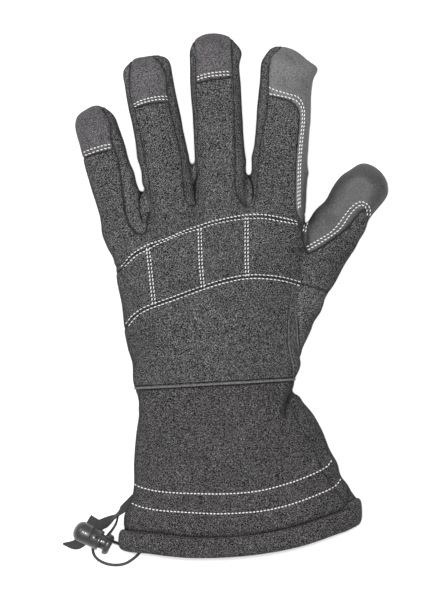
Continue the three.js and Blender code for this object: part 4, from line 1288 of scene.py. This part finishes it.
# Panels: each sewn piece of cloth is its own wall, 2 mm thick
panels = {  # finish, slot, the solid that it stands in for
    "fingerBacks": ("softshell", "softshell", "finger_backs"),
    "knucklePanel": ("softshell", "softshell", "knuckle_panel"),
    "handBack": ("softshell", "softshell", "hand_back"),
    "heelPanel": ("gussetShell", "softshell", "heel_panel"),
    "gussetPinkyRing": ("gussetShell", "gusset_fabric", "fourchette_pinky_ring"),
    "gussetRingMiddle": ("gussetShell", "gusset_fabric", "fourchette_ring_middle"),
    "gussetMiddleIndex": ("gussetShell", "gusset_fabric", "fourchette_middle_index"),
    "capPinky": ("capKnit", "cap_fabric", "cap_pinky"),
    "capRing": ("capKnit", "cap_fabric", "cap_ring"),
    "capMiddle": ("capKnit", "cap_fabric", "cap_middle"),
    "indexPatch": ("indexLeather", "leather", "index_patch"),
    "thumbPatch": ("thumbLeather", "leather", "thumb_patch"),
    "thumbFront": ("palmLeather", "leather", "thumb_front"),
    "fingerFrontPinky": ("palmLeather", "leather", "finger_front_pinky"),
    "fingerFrontRing": ("palmLeather", "leather", "finger_front_ring"),
    "fingerFrontMiddle": ("palmLeather", "leather", "finger_front_middle"),
    "fingerFrontIndex": ("palmLeather", "leather", "finger_front_index"),
    "palmPanel": ("palmLeather", "leather", "palm"),
    "gauntletBack": ("cuffShell", "softshell", "gauntlet_back"),
    "gauntletUnder": ("cuffShell", "softshell", "gauntlet_under"),
}
# walls in metres, the gap at a seam and the turned-in cloth's depth in millimetres
cloth = {"wall": 0.002, "allowance": 0.0007, "seamGap": 0.17, "allowanceDepth": 0.9}


def giveWall(piece, thickness):
    # a wall from the outer face inwards
    wall = piece.modifiers.new("wall", "SOLIDIFY")
    wall.thickness, wall.offset = thickness, -1
    return wall


def cutPanel(name):
    # the panel's own faces; its border draws back a little, which leaves the seam's gap
    finish, slotName, node = panels[name]
    faces = skinFaces[code == names.index(name)]
    used, corners = np.unique(faces, return_inverse=True)
    corners = corners.reshape(-1, 4)
    co = skin[used].copy()
    sides = np.vstack([corners[:, [k, (k + 1) % 4]] for k in range(4)])
    inwards = unit(neighbourMean(co, sides, len(co)) - co)
    border = np.isin(used, shared)
    co[border] += cloth["seamGap"] * inwards[border]
    piece = finished(newPiece(name, co, corners), finish, [node])
    # the painted shade and the painted shadow lines ride on the panel as point attributes for its
    # colour
    layer = piece.data.attributes.new("seam", "FLOAT", "POINT")
    layer.data.foreach_set("value", shade[used].astype(np.float32))
    layer = piece.data.attributes.new("fold", "FLOAT_VECTOR", "POINT")
    layer.data.foreach_set("vector", shadowMarks[used].astype(np.float32).ravel())
    piece.data.materials.append(finishes["lining"])  # for the inner face of the wall
    giveWall(piece, cloth["wall"]).material_offset = 1


def makeAllowance():
    # the turned-in cloth behind every seam: the skin's faces at the seams, a little further in
    faces = skinFaces[np.isin(skinFaces, shared).any(1) & (code >= 0)]
    used, corners = np.unique(faces, return_inverse=True)
    co = skin[used] - cloth["allowanceDepth"] * vertexNormals(skin, skinFaces)[used]
    piece = newPiece("seamAllowance", co, corners.reshape(-1, 4))
    giveWall(finished(piece, "lining"), cloth["allowance"])


for name in panels:
    cutPanel(name)
makeAllowance()
skinTree = BVHTree.FromPolygons(toRow(skin).tolist(), skinFaces.tolist())
print("panels cut")


def surfaceUnder(xy):
    # point and normal of the skin straight under each spot on plan, and whether there is any
    spots, normals = [], []
    for x, y in toRow(np.column_stack((xy, np.zeros(len(xy)))))[:, :2]:
        hit, normal, _, _ = skinTree.ray_cast(Vector((x, y, 0.2)), Vector((0, 0, -1)))
        spots.append(hit if hit else (x, y, 0.0))
        normals.append(normal if hit else (0, 0, 0))
    spots, normals = fromRow(np.array(spots)), np.array(normals)
    normals *= np.where(normals[:, 2:] < 0, -1, 1)
    return spots, normals, normals[:, 2] > 0.07


# one stitch's pitch, the share of it that shows, its radius, how proud and how slanted it stands
whiteStitch = {"pitch": 2.3, "share": 0.74, "radius": 0.3, "proud": 0.15, "lean": 0.2}
fineStitch = {"pitch": 2.4, "share": 0.8, "radius": 0.29, "proud": 0.13, "lean": 0.12}
cuffStitch = {"pitch": 2.15, "share": 0.72, "radius": 0.36, "proud": 0.15, "lean": 0.0}
darkStitch = {"pitch": 1.75, "share": 0.6, "radius": 0.3, "proud": 0.05, "lean": 0.0}
boldStitch = {"pitch": 1.8, "share": 0.62, "radius": 0.56, "proud": 0.14, "lean": 0.0}
# its corners and rings, its thinnest end, how deep it sits, and how many pitches it may span
capsule = {"sides": 6, "rings": 5, "ends": 0.06, "sunk": 0.35, "longest": 3.5}


def sewn(name, lines, finish="whiteThread", style=whiteStitch):
    # each stitch is a bent capsule: radius (1 - (2t - 1)^4)^0.5, its ends dipping into the cloth
    starts, ends = [], []
    for line in lines:
        path = evenly(smoothPath(line, 8), style["pitch"])
        a, b = path[:-1], path[1:]
        gap = (1 - style["share"]) / 2
        aside = style["lean"] * unit(b - a)[:, ::-1] * [-1, 1]
        starts.append(a + (b - a) * gap + aside)
        ends.append(b - (b - a) * gap - aside)
    a, normalA, onA = surfaceUnder(np.vstack(starts))
    b, normalB, onB = surfaceUnder(np.vstack(ends))
    short = np.linalg.norm(b - a, axis=1) < capsule["longest"] * style["pitch"]
    good = short & onA & onB
    a, b, up = a[good], b[good], unit(normalA + normalB)[good]
    along = unit(b - a)
    side = unit(np.cross(along, up))
    up = np.cross(side, along)
    t = np.linspace(0, 1, capsule["rings"])
    radius = style["radius"]
    swell = np.maximum(1 - (2 * t - 1) ** 4, capsule["ends"]) ** 0.5 * radius
    dip = style["proud"] * np.sin(t * math.pi) - radius * capsule["sunk"]
    angle = np.arange(capsule["sides"]) / capsule["sides"] * turn
    line = a[:, None] + (b - a)[:, None] * t[None, :, None] + up[:, None] * dip[None, :, None]
    ring = side[:, None, None] * np.cos(angle)[None, None, :, None]
    ring = ring + up[:, None, None] * np.sin(angle)[None, None, :, None]
    grid = line[:, :, None] + ring * swell[None, :, None, None]
    count, rings, sides = grid.shape[:3]
    lids = np.array([[0, 1, 2, 3], [0, 3, 4, 5]])
    lids = np.vstack((lids[:, ::-1], lids + (rings - 1) * sides))
    one = np.vstack((gridFaces(rings, sides)[:, ::-1], lids))
    faces = (one[None] + (np.arange(count) * rings * sides)[:, None, None]).reshape(-1, 4)
    finished(newPiece(name, grid.reshape(-1, 3), faces), finish)


def beside(line, distance):
    # a line moved sideways on plan: to its left for a positive distance
    path = smoothPath(np.asarray(line, float), 6)
    tangent = unit(np.gradient(path, axis=0))
    return (path + distance * np.column_stack((-tangent[:, 1], tangent[:, 0])))[::3]


lowerSewn = seams["lower"][2:14]
sewn("knuckleStitches", [onBack(line) for line in (
    [(120.4, 267), (124, 263.2), (130, 255.8), (138, 250), (146, 245.4), (156, 241.8), (166, 238.6),
     (176, 234.3), (186, 230), (198, 226), (212, 221.1), (222, 218.8), (232, 217), (245, 214.9),
     (258, 214.1), (268, 215.1), (278, 216.8), (290, 219.4), (297.4, 221.7)],
    [(124, 267), (130, 261.2), (138, 254.2), (146, 250.8), (156, 245), (166, 240.8), (176, 236.4),
     (186, 232.8), (198, 229.4), (212, 224.8), (222, 222.3), (232, 220.4), (245, 219),
     (258, 218.2), (268, 218.9), (278, 220.7), (290, 222.8), (298.6, 224.2)],
)])
sewn("lowerStitches", [beside(lowerSewn, 1.1), beside(lowerSewn, -1.1)], style=fineStitch)
sewn("channelStitches", [beside(line, d) for line in verticals for d in (0.86, -0.86)])
sewn("capStitches", [onBack(line) for line in (
    [(82.5, 152.4), (88, 150), (96, 147.3), (104, 145), (110.8, 144)],
    [(83.8, 155.3), (88, 153.9), (96, 151), (104, 148.7), (111.2, 147.3)],
    [(133, 104.6), (140, 100.6), (150, 97.8), (160, 96.3), (168, 96.3)],
    [(133.6, 107), (140, 103.6), (150, 100.7), (160, 99.2), (168.8, 99.4)],
    [(196.2, 77.3), (200, 75.4), (210, 73), (220, 71.8), (229.6, 71.3)],
    [(196.6, 80.4), (200, 78.5), (210, 76.1), (220, 74.9), (229.8, 74.7)],
)])
sewn("indexStitches", [onBack(line) for line in (
    [(268.4, 86.2), (271.2, 88.3), (278, 90.7), (284.5, 92.8), (291, 94.5), (296.7, 96.1),
     (299.4, 98), (302.3, 102.4), (304.1, 108.2), (304.6, 114.5), (304.5, 121), (303.6, 131),
     (302.2, 144), (301.2, 156), (300.5, 170), (300.2, 185), (300, 198), (300.2, 208)],
    [(268.9, 93.5), (275.2, 94.7), (282.9, 96.3), (290, 97.9), (295.3, 99.9), (299.1, 102.9),
     (301.5, 107.1), (302.5, 112.8), (302.5, 119), (301.7, 130), (300.2, 143), (299.2, 156),
     (298.5, 170), (298.2, 185), (298.1, 198), (298.6, 209)],
)])
sewn("thumbStitches", [onBack(line) for line in (
    [(306.5, 247), (319, 239.7), (330.8, 232.4), (338.1, 225), (345.5, 214.7), (352.8, 205.9),
     (361.6, 201.2), (367.5, 203.7), (370.7, 209), (370.6, 216)],
    [(307.8, 250), (320.5, 242.6), (332.2, 235.3), (341, 228), (351.3, 213.3), (358.7, 205.9),
     (363.8, 204.6), (367.3, 208.9), (367.8, 216)],
    [(303.6, 231.5), (304.6, 223.6), (307.3, 218.4), (311.7, 215)],
    [(305.8, 232.4), (306.5, 226.5), (308.6, 222)],
)])
sewn("cuffStitches", [onBack(line) for line in (
    [(133.6, 484.6), (137, 486.6), (140, 487.8), (150, 490.2), (160, 491.9), (180, 493.2),
     (200, 493.8), (220, 494), (240, 493.1), (260, 490.8), (280, 486), (300, 479.7), (320, 471.2),
     (328, 466.4), (332.4, 460.4)],
    [(127.6, 502.2), (134, 505.2), (140, 507.3), (150, 509.4), (160, 510.8), (180, 512.1),
     (200, 513.2), (220, 513.8), (240, 513), (260, 511.3), (280, 507.5), (300, 501.5),
     (320, 494), (334, 487.6), (338.6, 483.8), (341.4, 479)],
)], style=cuffStitch)
sewn("gussetStitches", [
    beside(seams[name][first:last], d) for name, first, last, d in (
        ("pinkyRight", 1, 14, 0.5), ("pinkyRight", 15, 21, 0.5), ("ringRight", 1, 11, 0.5),
        ("ringRight", 12, 16, 0.5), ("middleRight", 1, 8, 0.5), ("middleRight", 9, 18, 0.5),
    )
], "darkThread", darkStitch)
sewn("hemStitches", [hemSeam[1:-1]], "darkThread", boldStitch)
sewn("wristStitches", [onBack(
    [(139, 391.4), (160, 389.6), (186, 388), (212.7, 386.6), (240, 385.6), (268, 383.6),
     (290, 382.2)],
)], "darkThread", boldStitch)


# step along the line, corners, the share of its length that is thin, how proud its middle is
bead = {"step": 0.8, "sides": 10, "thin": 0.12, "proud": 0.35}


def ridge(name, line, radius, finish):
    # a turned edge along a seam: a half-sunk circle carried over the cloth, thin at its ends
    path, up, on = surfaceUnder(evenly(smoothPath(line, 8), bead["step"]))
    path, up = path[on], up[on]
    for _ in range(3):
        path[1:-1] = (path[:-2] + path[1:-1] + path[2:]) / 3
    tangent = unit(np.gradient(path, axis=0))
    side = unit(np.cross(tangent, up))
    along = np.linspace(0, 1, len(path))[:, None, None]
    size = radius * np.clip(np.minimum(along, 1 - along) / bead["thin"], 0.1, 1) ** 0.5
    a = (np.arange(bead["sides"]) / bead["sides"] * turn)[None, :, None]
    ring = np.cos(a) * side[:, None] + (np.sin(a) + bead["proud"]) * up[:, None]
    grid = path[:, None] + size * ring
    points, quads, lids = closedLoft(grid)
    piece = newPiece(name, points, quads[:, ::-1].tolist() + lids[:, ::-1].tolist())
    finished(piece, finish)


# the heel ridges wear the lighter copy of the knit: painted highlight
ridge("heelEdge", seams["heel"][2:-1], 0.5, "litRidgeShell")
ridge("sideFold", onBack([(295.8, 314), (297, 326), (297.4, 336), (298, 343), (298.8, 349)]), 0.5,
      "litRidgeShell")
ridge("cuffEdge", seams["cuffSide"][2:-1], 0.4, "cuffShell")
print("back sewn")


def tubeRound(path, lengthways, along, outward, power, ring):
    # superellipse carried along a closed path: path + along l + outward o, |l|^p + |o|^p = 1
    tangent = unit(np.roll(path, -1, axis=0) - np.roll(path, 1, axis=0))
    lengthways = unit(lengthways - tangent * np.sum(tangent * lengthways, 1, keepdims=True))
    out = np.cross(tangent, lengthways)
    across, up = rounded(ring, power)
    grid = path[:, None] + (across[None] * along)[..., None] * lengthways[:, None]
    return grid + (up[None] * outward)[..., None] * out[:, None], out


lengthways = np.array([[0.0, 1.0, 0.0]])
wristBead = {"y": -53.0, "half": 0.72, "sunk": 0.4, "proud": 0.7, "back": (18, 30), "rests": 0.9,
             "around": 420, "ring": 16, "power": 2.1}


def makeWrist():
    # bead round the wrist on the skin's own section, proud of the cloth on the back alone
    rows = bodyRows([wristBead["y"]])
    path = nudged(bandSection(rows, wristBead["around"], powers["hand"])[0])
    noSeam, noGusset = np.full(len(path), 9.0), np.zeros(len(path))
    path = path + unit(path - path.mean(0)) * shapedRelief(path, noSeam, noGusset)[:, None]
    path[:, 2] = np.maximum(path[:, 2], wristBead["rests"])
    outward = wristBead["proud"] * smoothstep(path[:, 2:], *wristBead["back"])
    grid, _ = tubeRound(path, lengthways, wristBead["half"], wristBead["sunk"] + outward,
                        wristBead["power"], wristBead["ring"])
    rings, sides = grid.shape[:2]
    piece = newPiece("wristSeam", grid.reshape(-1, 3), gridFaces(rings, sides, True)[:, ::-1])
    # the bead wears the lighter copy of the knit: painted highlight
    finished(piece, "litBeadShell", ["wrist_seam"])


# the cuff's row a little higher underneath; half the roll along and across the cloth; swell and
# wave: how much and over what length; lobe: from x to x, and its rise
hem = {"row": (*cuffRows[1][:7], 2.7), "along": 6.1, "thick": 3.15, "around": 480, "ring": 40,
       "powers": (2.4, 2.2), "swell": (0.10, 14.0), "wave": (0.3, 8.0), "seed": 5,
       "lobe": (67.0, 74.0, 1.9)}


def makeHem():
    # padded roll round the mouth; it swells a little along the way, and reaches further up the
    # cuff by the lobe's rise at the right end
    rows = [np.array([v], float) for v in hem["row"]]
    mouthPower, rollPower = hem["powers"]
    path = nudged(bandSection(rows, hem["around"], mouthPower)[0])
    start, full, rise = hem["lobe"]
    rise = rise * smoothstep(path[:, :1], start, full)
    path[:, 1:2] += rise
    share, size = hem["swell"]
    swell = 1 + share * softNoise(path, size, hem["seed"])[:, None]
    grid, out = tubeRound(path, lengthways, hem["along"] + rise, hem["thick"] * swell, rollPower,
                          hem["ring"])
    points = grid.reshape(-1, 3)
    outs = np.repeat(out, hem["ring"], axis=0)
    height, size = hem["wave"]
    points = points + outs * (height * softNoise(points, size, hem["seed"] + 1))[:, None]
    points[:, 2] = settled(points[:, 2])
    piece = newPiece("hemRoll", points, gridFaces(hem["around"], hem["ring"], True)[:, ::-1])
    finished(piece, "cuffShell", ["hem_tunnel"])


ribbon = {  # points across one face, and how thick the strip still is at the two outer ones
    "thick": 1.0, "across": 13, "rounding": (0.35, 0.85), "strips": {
        "ribbonTwist": [  # x, y, z, width, lean
            (-57.4, -121.2, 13.4, 5.6, 30), (-60.8, -124.6, 13.6, 5.6, 34),
            (-64.0, -127.6, 13.0, 5.6, 40), (-66.6, -130.4, 11.8, 5.6, 66),
            (-68.8, -132.4, 10.6, 5.6, 74), (-71.6, -134.4, 9.0, 6.0, 50),
            (-75.4, -136.6, 6.4, 6.4, 20), (-78.8, -138.4, 4.4, 6.4, 4),
            (-82.2, -140.8, 2.6, 6.4, 0), (-85.4, -143.6, 1.8, 6.6, 0),
            (-88.8, -147.2, 1.2, 6.8, 0), (-93.0, -149.8, 1.0, 6.2, 0),
            (-100.8, -149.4, 0.8, 1.2, 0),
        ],
        "ribbonStrand": [
            (-66.6, -129.6, 11.6, 4.6, 84), (-67.6, -132.6, 10.4, 4.6, 86),
            (-68.8, -137.0, 7.4, 4.6, 84), (-71.2, -141.0, 6.2, 4.6, 80),
            (-74.6, -145.2, 5.4, 4.6, 76),
        ],
        "ribbonEnd": [
            (-80.6, -133.9, 3.6, 7.6, 0), (-83.0, -137.8, 3.5, 7.6, 0),
            (-86.0, -142.6, 2.65, 7.0, 0), (-88.0, -145.6, 1.6, 6.4, 0),
        ],
    },
}


def makeRibbon():
    # flat strip: path + side w/2 + face t/2, its edges rounded, side leaning about the path
    for name, rows in ribbon["strips"].items():
        table = smoothPath(np.array(rows, float), 14)
        path, width, lean = table[:, :3], table[:, 3:4], np.radians(table[:, 4:5])
        along = unit(np.gradient(path, axis=0))
        level = unit(np.column_stack((along[:, 1], -along[:, 0], np.zeros(len(along)))))
        side = level * np.cos(lean) + np.cross(along, level) * np.sin(lean)
        face = np.cross(side, along)
        stops = np.linspace(-1, 1, ribbon["across"])
        full = np.ones(ribbon["across"])
        full[[0, -1]], full[[1, -2]] = ribbon["rounding"]
        across, up = np.concatenate((stops, stops[::-1])), np.concatenate((full, -full))
        grid = path[:, None] + side[:, None] * (across[None] * width / 2)[..., None]
        grid = grid + face[:, None] * (up[None] * ribbon["thick"] / 2)[..., None]
        points, quads, lids = closedLoft(grid)
        piece = newPiece(name, points, quads.tolist() + lids.tolist())
        rings, sides = grid.shape[:2]
        index = np.minimum(cornerPoints(piece.data), rings * sides - 1)
        ring, spot = index // sides, index % sides
        uv = np.column_stack((across[spot] * width[ring, 0] / 2, farAlong(path)[ring]))
        layUv(piece.data, uv)
        finished(piece, "webbing", ["ribbon_tab"] if name == "ribbonTwist" else [])


lock = {  # place, angles, the hole's radius, the slot's ends along the axis and its radius
    "at": (-81.3, -147.0, 9.5), "shift": (0.1, 1.1, 0.0), "heading": 154, "tilt": 70, "sides": 72,
    "hole": 1.8, "slot": (-5.4, 2.4, 1.75), "through": 12.0,
}
barrelOutline = [  # along the axis, radius; from the bottom of the bore round to the dome
    (9.0, 0.0), (9.0, 4.8), (-3.3, 4.8), (-3.55, 5.0), (-3.6, 5.4), (-3.5, 5.85), (-3.1, 6.1),
    (-1.9, 6.15), (-1.6, 6.0), (-1.5, 5.85), (3.4, 5.9), (3.6, 6.1), (3.8, 6.35), (4.4, 6.35),
    (4.6, 6.15), (4.8, 6.1), (7.4, 6.3), (8.8, 6.35), (10.0, 6.2), (11.0, 5.8), (11.9, 5.2),
    (12.6, 4.4), (13.2, 3.3), (13.6, 2.1), (13.8, 1.0), (13.85, 0.0),
]
buttonOutline = [
    (-10.4, 0.0), (-10.4, 2.2), (-10.2, 2.5), (-10.0, 2.8), (-10.0, 3.6), (-10.2, 3.9),
    (-10.4, 4.2), (-10.4, 4.7), (-10.2, 5.2), (-9.5, 6.0), (-8.8, 6.35), (-7.6, 6.4),
    (-7.1, 6.3), (-6.9, 6.0), (-6.9, 4.6), (-6.7, 4.3), (5.2, 4.3), (5.6, 3.9), (5.6, 0.0),
]


def lathe(name, outline, cutter, node, ridesOn):
    # the outline turned about its axis, with a tilted passage for the cord cut through it
    outline = np.array(outline)[1:-1]
    a = np.arange(lock["sides"]) / lock["sides"] * turn
    x = np.repeat(outline[:, :1], lock["sides"], axis=1)
    grid = np.dstack((x, outline[:, 1:] * np.cos(a), outline[:, 1:] * np.sin(a)))
    points, quads, lids = closedLoft(grid)
    faces = quads.tolist() + lids.tolist()
    tilt, heading = -math.radians(lock["tilt"]), math.radians(lock["heading"])
    c, s = math.cos(tilt), math.sin(tilt)
    lean = np.array([[1, 0, 0], [0, c, s], [0, -s, c]])  # about the barrel's axis
    c, s = math.cos(heading), math.sin(heading)
    head = np.array([[c, s, 0], [-s, c, 0], [0, 0, 1]])  # about the upright
    piece = newPiece(name, points @ head + lock["at"] + lock["shift"], faces)
    tool = newPiece(name + "Cut", cutter[0] @ lean @ head + lock["at"], cutter[1], False)
    cut = piece.modifiers.new("passage", "BOOLEAN")
    cut.operation, cut.object, cut.solver = "DIFFERENCE", tool, "EXACT"
    applied(piece)
    bpy.data.objects.remove(tool)
    piece.data.materials.clear()
    finished(piece, "plastic", [node], ridesOn)


def passage(low, high, half):
    # a round-ended slot: two half circles low and high along the axis, carried across it
    a = np.linspace(-math.pi / 2, math.pi / 2, 13)
    right = np.column_stack((high - half + half * np.cos(a), half * np.sin(a)))
    left = np.column_stack((low + half - half * np.cos(a), -half * np.sin(a)))
    loop = np.vstack((right, left))
    grid = np.stack([
        np.column_stack((loop[:, 0], np.full(len(loop), y), loop[:, 1]))
        for y in (-lock["through"], lock["through"])
    ])
    points, quads, lids = closedLoft(grid)
    return points, quads.tolist() + lids.tolist()


makeWrist()
makeHem()
makeRibbon()
hole = passage(-lock["hole"], lock["hole"], lock["hole"])
lathe("lockBarrel", barrelOutline, hole, "lock_barrel", "glove")
lathe("lockButton", buttonOutline, passage(*lock["slot"]), "lock_plunger", "plunger")
print("hem, ribbon and lock made")

stageSetup = {"floor": 4.0, "pale": 0.94, "matte": 0.9, "sky": 0.16}


def makeStage():
    # a plain pale floor
    half = stageSetup["floor"] / 2
    corners = [(-half, -half, 0), (half, -half, 0), (half, half, 0), (-half, half, 0)]
    floor = newObject("floor", corners, [(0, 1, 2, 3)])
    material = bpy.data.materials.new("floor")
    material.use_nodes = True
    shader = material.node_tree.nodes["Principled BSDF"]
    shader.inputs["Base Color"].default_value = (*[stageSetup["pale"]] * 3, 1)
    shader.inputs["Roughness"].default_value = stageSetup["matte"]
    floor.data.materials.append(material)


lights = [  # place, size and power of the soft boxes
    {"at": (0.0, 0.0, 4.2), "size": 0.5, "power": 225},
    {"at": (-1.1, 0.9, 1.7), "size": 0.8, "power": 20},
]


def makeLights():
    # soft boxes turned towards the glove, and a faint even sky
    for i, light in enumerate(lights):
        data = bpy.data.lights.new(f"softbox{i}", "AREA")
        data.size, data.energy = light["size"], light["power"]
        lamp = bpy.data.objects.new(f"softbox{i}", data)
        lamp.location = light["at"]
        lamp.rotation_euler = (-Vector(light["at"])).to_track_quat("-Z", "Y").to_euler()
        scene.collection.objects.link(lamp)
    world = bpy.data.worlds.new("world")
    world.use_nodes = True
    sky = world.node_tree.nodes["Background"]
    sky.inputs["Strength"].default_value = stageSetup["sky"]
    sky.inputs["Color"].default_value = (1, 1, 1, 1)
    scene.world = world


makeStage()
makeLights()
